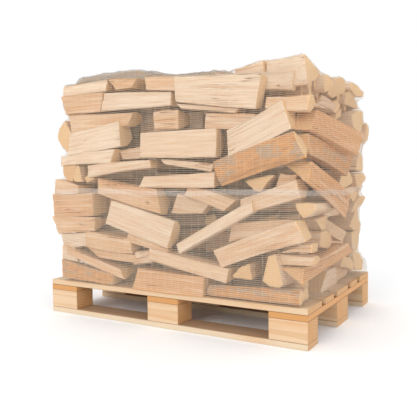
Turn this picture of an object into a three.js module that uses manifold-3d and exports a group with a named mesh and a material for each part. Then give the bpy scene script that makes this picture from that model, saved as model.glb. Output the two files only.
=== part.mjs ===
// A pallet of split firewood under a fine net, in millimetres, +Z up.
// The origin is on the ground, under the middle of the pallet. X runs along the pallet's long side,
// the front of the load faces -Y, and the right side faces +X.

import * as THREE from "three";
import { ConvexGeometry } from "three/addons/geometries/ConvexGeometry.js";
import { mergeVertices } from "three/addons/utils/BufferGeometryUtils.js";
import Module from "manifold-3d";

const wasm = await Module();
wasm.setup();

// Driving dimensions of the pallet
const PALLET_LENGTH = 1200;
const PALLET_WIDTH = 800;
const BOARD_THICK = 22;
const BLOCK_HEIGHT = 78;
const WIDE_BOARD = 145;
const NARROW_BOARD = 100;
const BLOCK_LENGTH = 145;
const OUTER_BLOCK_WIDTH = 100;
const MIDDLE_BLOCK_WIDTH = 145;
const EDGE_BREAK = 1.5;
const DECK_TOP = 3 * BOARD_THICK + BLOCK_HEIGHT;

// Driving dimensions of the load
const LOG_LENGTH = 330;
const COURSE_HEIGHT = 76;
const LOAD_TOP = 985;
const JOINT = 5;
const GAP = 0.35;
const CORE_INSET = 95;
const CORE_DROP = 60;
const CORE_LIFT = 1;

// How far each side of the load stands from the pallet's centre lines
const REACH = { front: 400, right: 560, back: 398, left: 540, top: LOAD_TOP };

// The net
const NET_HEM = 156;
const NET_CLEARANCE = 4;
const NET_THICK = 2;

// Colours, as the photograph shows them
const PINE = 0xe9cf9e;
const PINE_END = 0xdcb27a;
const SPLIT_PALE = 0xebd2b0;
const SPLIT_TAN = 0xdcb68a;
const BARK = 0xc9966a;
const NET_COLOUR = 0xd8d4cc;

const group = new THREE.Group();

function material(color, roughness = 0.8) {
  return new THREE.MeshStandardMaterial({ color, roughness, metalness: 0 });
}

function addPiece(name, geometry, color, roughness) {
  const mesh = new THREE.Mesh(geometry, material(color, roughness));
  mesh.name = name;
  group.add(mesh);
  return mesh;
}

// Joining and cutting solids

function positionsOnly(geometry) {
  const bare = geometry.clone();
  bare.deleteAttribute("normal");
  bare.deleteAttribute("uv");
  return mergeVertices(bare, 1e-3);
}

function toSolid(geometry) {
  const merged = positionsOnly(geometry);
  const corners = merged.index.array;
  const kept = [];
  for (let i = 0; i < corners.length; i += 3) {
    const [a, b, c] = [corners[i], corners[i + 1], corners[i + 2]];
    if (a !== b && b !== c && c !== a) {
      kept.push(a, b, c);
    }
  }
  return new wasm.Manifold(new wasm.Mesh({
    numProp: 3,
    vertProperties: new Float32Array(merged.attributes.position.array),
    triVerts: new Uint32Array(kept),
  }));
}

function toGeometry(solid) {
  const mesh = solid.getMesh();
  const geometry = new THREE.BufferGeometry();
  geometry.setAttribute("position", new THREE.BufferAttribute(new Float32Array(mesh.vertProperties), 3));
  geometry.setIndex(new THREE.BufferAttribute(new Uint32Array(mesh.triVerts), 1));
  geometry.computeVertexNormals();
  return geometry;
}

// The largest separate body of a cut solid
function largestBody(solid) {
  const bodies = solid.decompose();
  bodies.sort((a, b) => b.volume() - a.volume());
  return bodies[0];
}

// Pallet

// A sawn board or block with broken edges, its middle at (x, y) and its underside at z
function sawnTimber(length, width, thick, x, y, z, alongX) {
  const across = width / 2;
  const shape = new THREE.Shape([
    new THREE.Vector2(-across + EDGE_BREAK, 0),
    new THREE.Vector2(across - EDGE_BREAK, 0),
    new THREE.Vector2(across, EDGE_BREAK),
    new THREE.Vector2(across, thick - EDGE_BREAK),
    new THREE.Vector2(across - EDGE_BREAK, thick),
    new THREE.Vector2(-across + EDGE_BREAK, thick),
    new THREE.Vector2(-across, thick - EDGE_BREAK),
    new THREE.Vector2(-across, EDGE_BREAK),
  ]);
  const geometry = new THREE.ExtrudeGeometry(shape, { depth: length, bevelEnabled: false });
  geometry.translate(0, 0, -length / 2);
  geometry.rotateX(Math.PI / 2);
  if (alongX) {
    geometry.rotateZ(Math.PI / 2);
  }
  geometry.translate(x, y, z);
  return geometry;
}

const blockRowsX = [-(PALLET_LENGTH - BLOCK_LENGTH) / 2, 0, (PALLET_LENGTH - BLOCK_LENGTH) / 2];
const blockRowsY = [-(PALLET_WIDTH - OUTER_BLOCK_WIDTH) / 2, 0, (PALLET_WIDTH - OUTER_BLOCK_WIDTH) / 2];
const blockWidths = [OUTER_BLOCK_WIDTH, MIDDLE_BLOCK_WIDTH, OUTER_BLOCK_WIDTH];

function buildPallet() {
  const deckWidths = [WIDE_BOARD, NARROW_BOARD, WIDE_BOARD, NARROW_BOARD, WIDE_BOARD];
  const wood = deckWidths.reduce((sum, width) => sum + width, 0);
  const space = (PALLET_WIDTH - wood) / (deckWidths.length - 1);
  let edge = -PALLET_WIDTH / 2;
  deckWidths.forEach((width, i) => {
    const y = edge + width / 2;
    const board = sawnTimber(PALLET_LENGTH, width, BOARD_THICK, 0, y, DECK_TOP - BOARD_THICK, true);
    addPiece(`deck_board_${i + 1}`, board, PINE);
    edge += width + space;
  });
  blockRowsX.forEach((x, i) => {
    const z = BOARD_THICK + BLOCK_HEIGHT;
    const stringer = sawnTimber(PALLET_WIDTH, WIDE_BOARD, BOARD_THICK, x, 0, z, false);
    addPiece(`stringer_${i + 1}`, stringer, PINE_END);
    blockRowsY.forEach((y, j) => {
      const block = sawnTimber(BLOCK_LENGTH, blockWidths[j], BLOCK_HEIGHT, x, y, BOARD_THICK, true);
      addPiece(`block_${i + 1}_${j + 1}`, block, PINE);
    });
  });
  blockRowsY.forEach((y, j) => {
    const board = sawnTimber(PALLET_LENGTH, blockWidths[j], BOARD_THICK, 0, y, 0, true);
    addPiece(`bottom_board_${j + 1}`, board, PINE);
  });
}

// Logs

// The five sides of the load that show. A place on a side is (s, t): s runs to the right as one faces
// that side and t runs up. On top, t runs towards the back.
const SIDES = {
  front: { along: [1, 0, 0], up: [0, 0, 1], out: [0, -1, 0] },
  right: { along: [0, 1, 0], up: [0, 0, 1], out: [1, 0, 0] },
  back: { along: [-1, 0, 0], up: [0, 0, 1], out: [0, 1, 0] },
  left: { along: [0, -1, 0], up: [0, 0, 1], out: [-1, 0, 0] },
  top: { along: [1, 0, 0], up: [0, 1, 0], out: [0, 0, 1] },
};

function place(side, s, t, proud) {
  const { along, up, out } = SIDES[side];
  const far = REACH[side] + proud;
  return new THREE.Vector3(
    along[0] * s + up[0] * t + out[0] * far,
    along[1] * s + up[1] * t + out[1] * far,
    along[2] * s + up[2] * t + out[2] * far,
  );
}

// Cross-sections of split logs, as (height on the visible face, depth behind it), both from 0 to 1
const SECTIONS = {
  slab: [[0, 0], [1, 0], [0.95, 1], [0.07, 0.94]],
  wedge: [[0, 0], [1, 0], [0.66, 0.97], [0.52, 1]],
  low: [[0, 0], [1, 0], [0.42, 1], [0.28, 0.96]],
  five: [[0, 0], [1, 0], [1.04, 0.5], [0.5, 1], [-0.03, 0.5]],
  dee: [[0, 0], [1, 0], [0.97, 0.45], [0.72, 0.86], [0.32, 0.92], [0.03, 0.48]],
  corner: [[0, 0], [1, 0], [0.97, 1], [0.8, 0.95]],
  round: [[0, 0], [1, 0], [1, 1], [0.62, 0.93], [0.28, 0.72], [0.07, 0.38]],
  bark: [[0, 0.2], [0.22, 0.05], [0.5, 0], [0.78, 0.05], [1, 0.18], [0.56, 1]],
};

// A log that shows a long face: its four corners on that side of the load, its depth into the load,
// how proud of the side its face stands, and how much further out its right end is than its left
function sideOn(side, section, [bl, br, tr, tl], depth, proud = 0, turn = 0) {
  return { side, section, corners: [bl, br, tr, tl], depth, proud, turn };
}

// A log that shows its sawn end: the outline of the end
function endOn(side, outline, proud = 0, length = LOG_LENGTH) {
  return { side, outline, proud, length };
}

// How much wider an end's outline or a section gets for each millimetre that a log is grown
const OUTLINE_GROWTH = 1.6;
const SECTION_GROWTH = 3.2;

function logPoints(log, grow = 0) {
  const points = [];
  if (log.outline) {
    const middle = log.outline.reduce((m, [s, t]) => [m[0] + s, m[1] + t], [0, 0]);
    const cs = middle[0] / log.outline.length;
    const ct = middle[1] / log.outline.length;
    for (const [s, t] of log.outline) {
      const size = Math.hypot(s - cs, t - ct);
      const scale = 1 + (OUTLINE_GROWTH * grow) / size;
      for (const proud of [log.proud + grow, log.proud - log.length - grow]) {
        points.push(place(log.side, cs + (s - cs) * scale, ct + (t - ct) * scale, proud));
      }
    }
    return points;
  }
  const [bl, br, tr, tl] = log.corners;
  const lengthways = new THREE.Vector2(br[0] + tr[0] - bl[0] - tl[0], br[1] + tr[1] - bl[1] - tl[1]);
  lengthways.normalize();
  const ends = [
    { bottom: bl, top: tl, proud: log.proud - log.turn / 2, step: -grow },
    { bottom: br, top: tr, proud: log.proud + log.turn / 2, step: grow },
  ];
  for (const { bottom, top, proud, step } of ends) {
    const height = Math.hypot(top[0] - bottom[0], top[1] - bottom[1]);
    for (const [u, v] of SECTIONS[log.section]) {
      const wideU = 0.5 + (u - 0.5) * (1 + (SECTION_GROWTH * grow) / height);
      const s = bottom[0] + (top[0] - bottom[0]) * wideU + lengthways.x * step;
      const t = bottom[1] + (top[1] - bottom[1]) * wideU + lengthways.y * step;
      const back = 0.5 + (v - 0.5) * (1 + (SECTION_GROWTH * grow) / log.depth);
      points.push(place(log.side, s, t, proud - log.depth * back));
    }
  }
  return points;
}

function logSolid(log, grow = 0) {
  return toSolid(new ConvexGeometry(logPoints(log, grow)));
}

// The logs that show most on the front
const FRONT_LOGS = [
  sideOn("front", "low", [[-500, 946], [-266, 947], [-254, 991], [-496, 984]], 62),
  sideOn("front", "slab", [[-211, 952], [-132, 952], [-109, 982], [-247, 993]], 80, -4),
  sideOn("front", "dee", [[-490, 867], [-296, 866], [-276, 943], [-512, 942]], 86),
  sideOn("front", "slab", [[-290, 868], [54, 866], [60, 914], [-267, 936]], 82, 3),
  sideOn("front", "slab", [[-58, 935], [73, 918], [76, 973], [-60, 984]], 84),
  sideOn("front", "slab", [[80, 878], [414, 829], [432, 948], [79, 969]], 54, 4),
  sideOn("front", "five", [[350, 902], [523, 892], [529, 957], [350, 958]], 62, -50),
  sideOn("front", "wedge", [[424, 915], [574, 905], [560, 1008], [424, 1000]], 150, -72),
  sideOn("front", "slab", [[296, 966], [417, 962], [412, 1002], [304, 981]], 58, -58),
  sideOn("front", "five", [[-470, 788], [-165, 806], [-134, 850], [-480, 864]], 90, -12),
  sideOn("front", "dee", [[-475, 693], [-190, 723], [-197, 821], [-462, 783]], 86, 2),
  sideOn("front", "wedge", [[-28, 779], [80, 777], [80, 850], [-34, 849]], 132, -14),
  sideOn("front", "dee", [[-93, 674], [251, 666], [253, 770], [-86, 769]], 72, 4),
  sideOn("front", "dee", [[300, 656], [540, 752], [513, 848], [298, 757]], 86),
  sideOn("front", "bark", [[273, 559], [594, 655], [549, 742], [236, 651]], 82, 10),
  sideOn("front", "five", [[-530, 651], [-250, 655], [-226, 706], [-524, 685]], 86, -2),
  sideOn("front", "slab", [[-367, 598], [-40, 634], [-50, 661], [-368, 642]], 80),
  sideOn("front", "low", [[-103, 557], [238, 557], [244, 609], [-77, 597]], 82, -4),
  sideOn("front", "five", [[-320, 529], [-6, 452], [-25, 547], [-320, 589]], 88, -6),
  sideOn("front", "slab", [[-575, 523], [-431, 528], [-431, 557], [-562, 589]], 92, -3),
  sideOn("front", "slab", [[-576, 428], [-348, 435], [-351, 529], [-581, 523]], 104),
  sideOn("front", "wedge", [[-552, 352], [-345, 373], [-341, 428], [-592, 425]], 92, -2),
  sideOn("front", "dee", [[-273, 406], [36, 322], [69, 422], [-239, 501]], 58, 7),
  sideOn("front", "five", [[100, 524], [271, 468], [320, 508], [124, 558]], 72, -16),
  sideOn("front", "slab", [[88, 304], [399, 470], [394, 511], [80, 336]], 58, 6),
  sideOn("front", "five", [[345, 461], [572, 521], [554, 580], [345, 510]], 84, -12),
  sideOn("front", "slab", [[272, 261], [594, 377], [562, 441], [240, 325]], 72, 9),
  sideOn("front", "round", [[-396, 302], [-150, 288], [-154, 345], [-396, 371]], 82, -2),
  sideOn("front", "wedge", [[-500, 266], [-181, 179], [-213, 223], [-510, 299]], 96, 4),
  sideOn("front", "dee", [[-539, 158], [-257, 150], [-254, 191], [-540, 238]], 96, -2),
  sideOn("front", "slab", [[-142, 147], [190, 146], [194, 222], [-114, 229]], 92, 7),
  sideOn("front", "bark", [[206, 146], [566, 150], [569, 202], [207, 191]], 96, 2),
  sideOn("front", "slab", [[-54, 270], [289, 208], [300, 256], [-53, 312]], 76, 3),
];

// The logs that show most on the right side
const RIGHT_LOGS = [
  sideOn("right", "slab", [[-368, 750], [-79, 672], [21, 748], [-308, 817]], 70, 78, 76),
  sideOn("right", "dee", [[-337, 667], [-77, 592], [18, 664], [-356, 735]], 74, 51, 53),
  sideOn("right", "corner", [[-400, 572], [-146, 440], [-61, 519], [-354, 643]], 95, 64, 49),
  sideOn("right", "corner", [[-389, 224], [-19, 293], [-82, 333], [-370, 277]], 80, 49, 69),
  sideOn("right", "five", [[-140, 146], [64, 146], [42, 218], [-62, 214]], 88, -4),
];

// The smaller and half hidden logs of the front and right side
const SMALL_FRONT_LOGS = [
  sideOn("front", "slab", [[100, 854], [325, 821], [339, 834], [82, 868]], 70, -8),
  sideOn("front", "round", [[194, 774], [382, 758], [400, 812], [200, 826]], 80, -20),
  endOn("front", [[-500, 838], [-536, 805], [-545, 760], [-524, 732], [-484, 702], [-468, 780]], -6),
  sideOn("front", "slab", [[20, 645], [225, 613], [235, 640], [0, 662]], 70, -10),
  endOn("front", [[545, 500], [612, 499], [615, 477], [573, 450], [550, 477]], -30, 300),
  sideOn("front", "five", [[-178, 336], [10, 297], [34, 305], [-166, 373]], 62, -6),
  sideOn("front", "slab", [[-535, 290], [-398, 303], [-398, 363], [-545, 350]], 90, -10),
  endOn("front", [[314, 237], [319, 228], [392, 228], [381, 283], [352, 273]]),
  endOn("front", [[437, 228], [461, 211], [497, 208], [509, 222], [480, 321], [459, 313]], 0, 300),
  endOn("front", [[-524, 652], [-446, 652], [-474, 578], [-508, 588], [-524, 617]], -12),
  endOn("front", [[-461, 603], [-434, 646], [-427, 640], [-413, 580], [-458, 582]], -6),
  sideOn("front", "low", [[-219, 671], [-126, 671], [-119, 717], [-230, 704]], 80, -40),
  endOn("front", [[-414, 598], [-396, 571], [-354, 592], [-373, 613]], -20),
  sideOn("front", "low", [[-330, 256], [-113, 246], [-150, 281], [-394, 298]], 72, -12),
  sideOn("front", "five", [[-540, 241], [-450, 233], [-470, 288], [-535, 297]], 80, -8),
  sideOn("front", "wedge", [[282, 352], [462, 392], [535, 440], [290, 420]], 70, -40),
  endOn("front", [[350, 578], [392, 545], [412, 540], [460, 598]], -34),
  sideOn("front", "slab", [[462, 540], [530, 552], [545, 598], [480, 604]], 70, -46),
  sideOn("front", "five", [[20, 452], [160, 455], [195, 492], [50, 530]], 70, -46),
  sideOn("front", "five", [[440, 828], [590, 812], [603, 863], [445, 868]], 74, -14),
  sideOn("front", "slab", [[500, 330], [606, 334], [606, 364], [556, 352]], 66, -20),
  sideOn("front", "five", [[490, 287], [606, 291], [612, 316], [490, 318]], 66, -28),
  sideOn("front", "slab", [[-150, 240], [-58, 258], [-58, 298], [-142, 289]], 66, -18),
];

const SMALL_RIGHT_LOGS = [
  endOn("right", [[-196, 893], [-200, 955], [-159, 959], [-98, 940], [-124, 917]], 30),
  endOn("right", [[-112, 903], [-88, 942], [-24, 961], [78, 988], [118, 968], [89, 928], [-52, 893]], 15),
  endOn("right", [[180, 958], [181, 979], [277, 982], [392, 966], [388, 950], [266, 938]], 16),
  endOn("right", [[120, 888], [158, 930], [201, 948], [255, 946], [350, 889]], 5),
  endOn("right", [[124, 838], [242, 868], [322, 872], [330, 826], [274, 776], [150, 793]], 34),
  endOn("right", [[292, 756], [344, 820], [384, 800], [356, 752], [269, 729]], 46),
  sideOn("right", "slab", [[35, 706], [262, 694], [262, 768], [40, 790]], 84, -8),
  sideOn("right", "five", [[-226, 842], [-14, 846], [28, 872], [-150, 889]], 78, 2),
  endOn("right", [[36, 848], [86, 846], [112, 880], [60, 898], [20, 886]], -8),
  endOn("right", [[52, 822], [118, 838], [124, 870], [60, 840]], -6),
  endOn("right", [[200, 616], [248, 690], [300, 670], [310, 612]], 36),
  sideOn("right", "five", [[38, 620], [190, 612], [190, 680], [40, 690]], 84, -10),
  endOn("right", [[-23, 598], [71, 616], [150, 580], [145, 558], [34, 543], [-56, 552]], 38),
  endOn("right", [[156, 596], [312, 600], [370, 579], [298, 556], [262, 527], [198, 547]], 38),
  endOn("right", [[110, 538], [250, 544], [286, 507], [284, 478], [212, 477]], 20),
  endOn("right", [[290, 500], [372, 490], [300, 464], [150, 432], [204, 470]], 32),
  sideOn("right", "wedge", [[-56, 420], [140, 424], [196, 466], [-50, 536]], 78, -20),
  endOn("right", [[155, 376], [249, 422], [339, 367], [313, 348], [226, 355]], 20),
  endOn("right", [[232, 344], [372, 341], [356, 285], [337, 250], [268, 259]], 6),
  endOn("right", [[-262, 344], [-253, 386], [-201, 390], [-142, 376], [-110, 341], [-156, 320]], 34),
  endOn("right", [[-296, 436], [-245, 443], [-156, 442], [-186, 398], [-222, 396]], 30),
  sideOn("right", "slab", [[-132, 384], [-70, 338], [-18, 372], [-150, 440]], 74, 34, 50),
  sideOn("right", "slab", [[0, 300], [220, 268], [220, 340], [-10, 372]], 80, -26),
  endOn("right", [[8, 228], [48, 257], [144, 247], [190, 208], [172, 186], [60, 222]], 30),
  endOn("right", [[200, 268], [300, 244], [372, 196], [360, 156], [250, 176]], 22),
  sideOn("right", "low", [[70, 150], [240, 156], [240, 196], [74, 212]], 80, -12),
  endOn("right", [[-330, 150], [-266, 149], [-263, 190], [-302, 192]], -8, 120),
];

// A repeatable dice for the sides that are laid by rule
function dice(seed) {
  let state = seed;
  return () => {
    state = (state * 16807) % 2147483647;
    return state / 2147483647;
  };
}

const SECTION_NAMES = ["slab", "wedge", "five", "low", "round", "slab", "bark", "five"];

// Outlines of sawn ends in a unit square, wide at the bottom
const END_SHAPES = [
  [[0, 0], [1, 0], [0.96, 0.62], [0.55, 1], [0.06, 0.7]],
  [[0, 0.05], [0.9, 0], [1, 0.9], [0.2, 1]],
  [[0.02, 0], [1, 0.04], [0.86, 0.6], [0.5, 0.98], [0.2, 0.62]],
  [[0, 0.35], [0.3, 0.03], [0.72, 0], [1, 0.4], [0.82, 0.97], [0.2, 1]],
];

// Courses of logs over a stretch of one side. The joints between courses wave, so that logs tilt and
// still lie close. `ends` is the share of logs that show an end, and `swell` says how far the side
// bulges out at each place.
function layCourses(side, seed, { from, to, bottom, top, height = COURSE_HEIGHT, ends, swell }) {
  const random = dice(seed);
  const courses = Math.round((top - bottom) / height);
  const phase = random() * 6;
  const joint = (course, s) => {
    const level = bottom + ((top - bottom) * course) / courses;
    const held = course === 0 || course === courses ? 0.15 : 1;
    const wave = 15 * Math.sin(s / 95 + 2.3 * course + phase) + 9 * Math.sin(s / 41 + 4.1 * course);
    return level + held * wave;
  };
  const logs = [];
  for (let course = 0; course < courses; course += 1) {
    let s = from + random() * 24;
    while (to - s > 55) {
      const left = to - s;
      const asEnd = left < 210 || random() < ends;
      const width = asEnd ? 72 + random() * 38 : Math.min(LOG_LENGTH - random() * 22, left);
      const right = Math.min(s + width, to + 6);
      const middle = (s + right) / 2;
      const level = (joint(course, middle) + joint(course + 1, middle)) / 2;
      const proud = swell(middle, level) - random() * 22;
      const low = (at) => joint(course, at) + JOINT / 2 + random() * 3;
      const high = (at) => joint(course + 1, at) - JOINT / 2 - random() * 5;
      const corners = [
        [s + random() * 6, low(s)],
        [right - JOINT - random() * 8, low(right)],
        [right - JOINT - random() * 8, high(right)],
        [s + random() * 6, high(s)],
      ];
      const pick = random();
      const depth = 74 + random() * 22;
      const turn = (random() - 0.5) * 22;
      if (asEnd && ends > 0) {
        const shape = END_SHAPES[Math.floor(pick * END_SHAPES.length)];
        const flip = random() < 0.5;
        const [bl, br, tr, tl] = corners;
        const outline = shape.map(([u, v]) => {
          const across = flip ? 1 - u : u;
          const a = [bl[0] + (br[0] - bl[0]) * across, bl[1] + (br[1] - bl[1]) * across];
          const b = [tl[0] + (tr[0] - tl[0]) * across, tl[1] + (tr[1] - tl[1]) * across];
          return [a[0] + (b[0] - a[0]) * v, a[1] + (b[1] - a[1]) * v];
        });
        logs.push(endOn(side, outline, proud));
      } else {
        const section = SECTION_NAMES[Math.floor(pick * SECTION_NAMES.length)];
        logs.push(sideOn(side, section, corners, depth, proud, turn));
      }
      s = right;
    }
  }
  return logs;
}

// How each ruled side swells beyond its reach
const leftSwell = (s, z) => -20 + 62 * Math.exp(-(((z - 470) / 170) ** 2)) - (z > 880 ? 22 : 0);
const backSwell = (s, z) => -10 + 14 * Math.exp(-(((z - 520) / 260) ** 2));
const bump = (x, y, cx, cy, wide) => Math.exp(-(((x - cx) / wide) ** 2) - ((y - cy) / 290) ** 2);
const topSwell = (x, y) => -6 + 70 * bump(x, y, -310, -170, 300) + 32 * bump(x, y, 70, -20, 200);

const LEFT_COURSES = { from: -306, to: 306, bottom: 146, top: 968, ends: 0.34, swell: leftSwell };
const BACK_COURSES = { from: -562, to: 540, bottom: 146, top: 976, ends: 0.22, swell: backSwell };
const TOP_COURSES = { from: -500, to: 560, bottom: -312, top: 320, height: 88, ends: 0, swell: topSwell };

const ruledLogs = [
  ...layCourses("left", 4177, LEFT_COURSES),
  ...layCourses("back", 9341, BACK_COURSES),
  ...layCourses("top", 2503, TOP_COURSES),
];

// The closed middle of the stack, behind the logs that show
function coreSolid() {
  const length = REACH.left + REACH.right - 2 * CORE_INSET;
  const width = REACH.front + REACH.back - 2 * CORE_INSET;
  const height = LOAD_TOP - CORE_DROP - DECK_TOP - CORE_LIFT;
  const x = (REACH.right - REACH.left) / 2;
  const y = (REACH.back - REACH.front) / 2;
  const geometry = new THREE.BoxGeometry(length, width, height);
  geometry.translate(x, y, DECK_TOP + CORE_LIFT + height / 2);
  return toSolid(geometry);
}

// Everything the logs may not sink into: a slab that ends just above the deck
function deckKeepOut() {
  const geometry = new THREE.BoxGeometry(2 * PALLET_LENGTH, 2 * PALLET_WIDTH, DECK_TOP);
  geometry.translate(0, 0, DECK_TOP / 2 + GAP);
  return toSolid(geometry);
}

const deck = deckKeepOut();
const shownLogs = [];
const loadSolids = [];

function buildShownLogs() {
  const named = [
    ...FRONT_LOGS.map((log, i) => ({ name: `log_front_${String(i + 1).padStart(2, "0")}`, log })),
    ...RIGHT_LOGS.map((log, i) => ({ name: `log_right_${String(i + 1).padStart(2, "0")}`, log })),
  ];
  // The proudest log keeps its whole shape, and those behind it are cut clear of it
  const order = [...named].sort((a, b) => b.log.proud - a.log.proud);
  for (const { name, log } of order) {
    let solid = logSolid(log).subtract(deck);
    for (const earlier of shownLogs) {
      solid = solid.subtract(earlier.grown);
    }
    solid = largestBody(solid);
    shownLogs.push({ name, log, solid, grown: logSolid(log, GAP) });
  }
  shownLogs.sort((a, b) => (a.name < b.name ? -1 : 1));
  for (const { name, log, solid } of shownLogs) {
    const color = log.section === "bark" ? BARK : log.section === "slab" ? SPLIT_PALE : SPLIT_TAN;
    addPiece(name, toGeometry(solid), color, 0.85);
    loadSolids.push(solid);
  }
}

function buildStack() {
  const logs = [...SMALL_FRONT_LOGS, ...SMALL_RIGHT_LOGS, ...ruledLogs];
  let stack = wasm.Manifold.union([coreSolid(), ...logs.map((log) => logSolid(log))]);
  stack = stack.subtract(wasm.Manifold.union([deck, ...shownLogs.map((log) => log.grown)]));
  stack = largestBody(stack);
  addPiece("stacked_logs", toGeometry(stack), SPLIT_TAN, 0.9);
  loadSolids.push(stack);
}

// Net

// The net follows a rounded box around the load. Each place on it is a point of an inner box and a
// direction straight out of it. Columns go round the load and rows go up its sides and over the top.
const NET_INNER = { left: -450, right: 500, front: -325, back: 330, top: 905 };
const NET_LONG_CELLS = 10;
const NET_SHORT_CELLS = 6;
const NET_CORNER_CELLS = 4;
const NET_SIDE_ROWS = 9;
const NET_EDGE_ROWS = 4;
const NET_TOP_ROWS = 2;
const NET_SWEEPS = 24;
const NET_STEP = 12;
const NET_SHARE = 0.12;
const NET_GRAZING = 0.2;
const NET_SLACK = 0.5;
const QUARTER = Math.PI / 2;
const NET_CORNERS = [
  [NET_INNER.left, NET_INNER.front],
  [NET_INNER.right, NET_INNER.front],
  [NET_INNER.right, NET_INNER.back],
  [NET_INNER.left, NET_INNER.back],
];
const NET_CENTRE = [(NET_INNER.left + NET_INNER.right) / 2, (NET_INNER.front + NET_INNER.back) / 2];
const NET_CELLS = [NET_LONG_CELLS, NET_SHORT_CELLS, NET_LONG_CELLS, NET_SHORT_CELLS];
// The column at which each of the four sides starts: front, right, back, left
const NET_STARTS = NET_CELLS.map((cells, side) => {
  return NET_CELLS.slice(0, side).reduce((sum, before) => sum + before + NET_CORNER_CELLS, 0);
});
const TOP_ROW = NET_SIDE_ROWS + NET_EDGE_ROWS;

function netColumns() {
  const columns = [];
  for (let side = 0; side < 4; side += 1) {
    const from = NET_CORNERS[side];
    const to = NET_CORNERS[(side + 1) % 4];
    const facing = (side - 1) * QUARTER;
    for (let i = 0; i < NET_CELLS[side]; i += 1) {
      const f = i / NET_CELLS[side];
      const [x, y] = [from[0] + (to[0] - from[0]) * f, from[1] + (to[1] - from[1]) * f];
      columns.push({ x, y, facing });
    }
    for (let i = 0; i < NET_CORNER_CELLS; i += 1) {
      columns.push({ x: to[0], y: to[1], facing: facing + (QUARTER * i) / NET_CORNER_CELLS });
    }
  }
  return columns;
}

function netRows() {
  const rows = [];
  for (let i = 0; i < NET_SIDE_ROWS; i += 1) {
    rows.push({ z: NET_HEM + ((NET_INNER.top - NET_HEM) * i) / NET_SIDE_ROWS, tilt: 0, inward: 1 });
  }
  for (let i = 0; i < NET_EDGE_ROWS; i += 1) {
    rows.push({ z: NET_INNER.top, tilt: (QUARTER * i) / NET_EDGE_ROWS, inward: 1 });
  }
  for (let i = 0; i < NET_TOP_ROWS; i += 1) {
    rows.push({ z: NET_INNER.top, tilt: QUARTER, inward: 1 - i / NET_TOP_ROWS });
  }
  return rows;
}

// Points all over the logs, close enough together that none is missed between them
function loadPoints() {
  const spacing = 16;
  const points = [];
  const corner = [new THREE.Vector3(), new THREE.Vector3(), new THREE.Vector3()];
  for (const solid of loadSolids) {
    const mesh = solid.getMesh();
    for (let i = 0; i < mesh.triVerts.length; i += 3) {
      corner.forEach((target, j) => target.fromArray(mesh.vertProperties, mesh.triVerts[i + j] * 3));
      const [a, b, c] = corner;
      const longest = Math.max(a.distanceTo(b), b.distanceTo(c), c.distanceTo(a));
      const steps = Math.max(1, Math.ceil(longest / spacing));
      for (let u = 0; u <= steps; u += 1) {
        for (let v = 0; v <= steps - u; v += 1) {
          const fu = u / steps;
          const fv = v / steps;
          points.push(a.clone().multiplyScalar(1 - fu - fv).addScaledVector(b, fu).addScaledVector(c, fv));
        }
      }
    }
  }
  return points;
}

// The column that a point on the inner box's outline belongs to, on the given side
function columnAlong(side, x, y) {
  const from = NET_CORNERS[side];
  const to = NET_CORNERS[(side + 1) % 4];
  const run = Math.abs(to[0] - from[0]) + Math.abs(to[1] - from[1]);
  const gone = Math.abs(x - from[0]) + Math.abs(y - from[1]);
  return NET_STARTS[side] + (NET_CELLS[side] * Math.min(gone, run)) / run;
}

// Where a point of the load lies on the net's grid, and how far out of the inner box it is
function netPlace(p) {
  const { left, right, front, back, top } = NET_INNER;
  const x = Math.max(left, Math.min(right, p.x));
  const y = Math.max(front, Math.min(back, p.y));
  const dx = p.x - x;
  const dy = p.y - y;
  const flat = Math.hypot(dx, dy);
  const rise = Math.max(0, p.z - top);
  if (flat < 1e-6 && rise === 0) {
    return null;
  }
  if (flat < 1e-6) {
    const sx = (p.x - NET_CENTRE[0]) / (right - NET_CENTRE[0]);
    const sy = (p.y - NET_CENTRE[1]) / (back - NET_CENTRE[1]);
    const inward = Math.max(Math.abs(sx), Math.abs(sy), 1e-3);
    const ex = NET_CENTRE[0] + (p.x - NET_CENTRE[0]) / inward;
    const ey = NET_CENTRE[1] + (p.y - NET_CENTRE[1]) / inward;
    const side = Math.abs(sx) > Math.abs(sy) ? (sx > 0 ? 1 : 3) : (sy > 0 ? 2 : 0);
    const row = TOP_ROW + (1 - inward) * NET_TOP_ROWS;
    return { base: new THREE.Vector3(p.x, p.y, top), row, column: columnAlong(side, ex, ey), far: rise };
  }
  const turn = (Math.atan2(dy, dx) + 5 * QUARTER) % (4 * QUARTER);
  const side = Math.floor(turn / QUARTER + 1e-9) % 4;
  const inFan = Math.abs(dx) > 1e-6 && Math.abs(dy) > 1e-6;
  const column = inFan
    ? NET_STARTS[side] + NET_CELLS[side] + (turn / QUARTER - side) * NET_CORNER_CELLS
    : columnAlong(side, x, y);
  const row = p.z <= top
    ? Math.max(0, ((p.z - NET_HEM) / (top - NET_HEM)) * NET_SIDE_ROWS)
    : NET_SIDE_ROWS + (Math.atan2(rise, flat) / QUARTER) * NET_EDGE_ROWS;
  return { base: new THREE.Vector3(x, y, Math.min(p.z, top)), row, column, far: Math.hypot(flat, rise) };
}

// A place of the net's grid, `far` out of the inner box. The row past the last is the middle of the top.
function netPoint(rows, columns, i, j, far, target) {
  if (i === rows.length) {
    return target.set(NET_CENTRE[0], NET_CENTRE[1], NET_INNER.top + far);
  }
  const { z, tilt, inward } = rows[i];
  const { x, y, facing } = columns[j];
  const flat = Math.cos(tilt) * far;
  return target.set(
    NET_CENTRE[0] + (x - NET_CENTRE[0]) * inward + Math.cos(facing) * flat,
    NET_CENTRE[1] + (y - NET_CENTRE[1]) * inward + Math.sin(facing) * flat,
    z + Math.sin(tilt) * far,
  );
}

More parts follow.
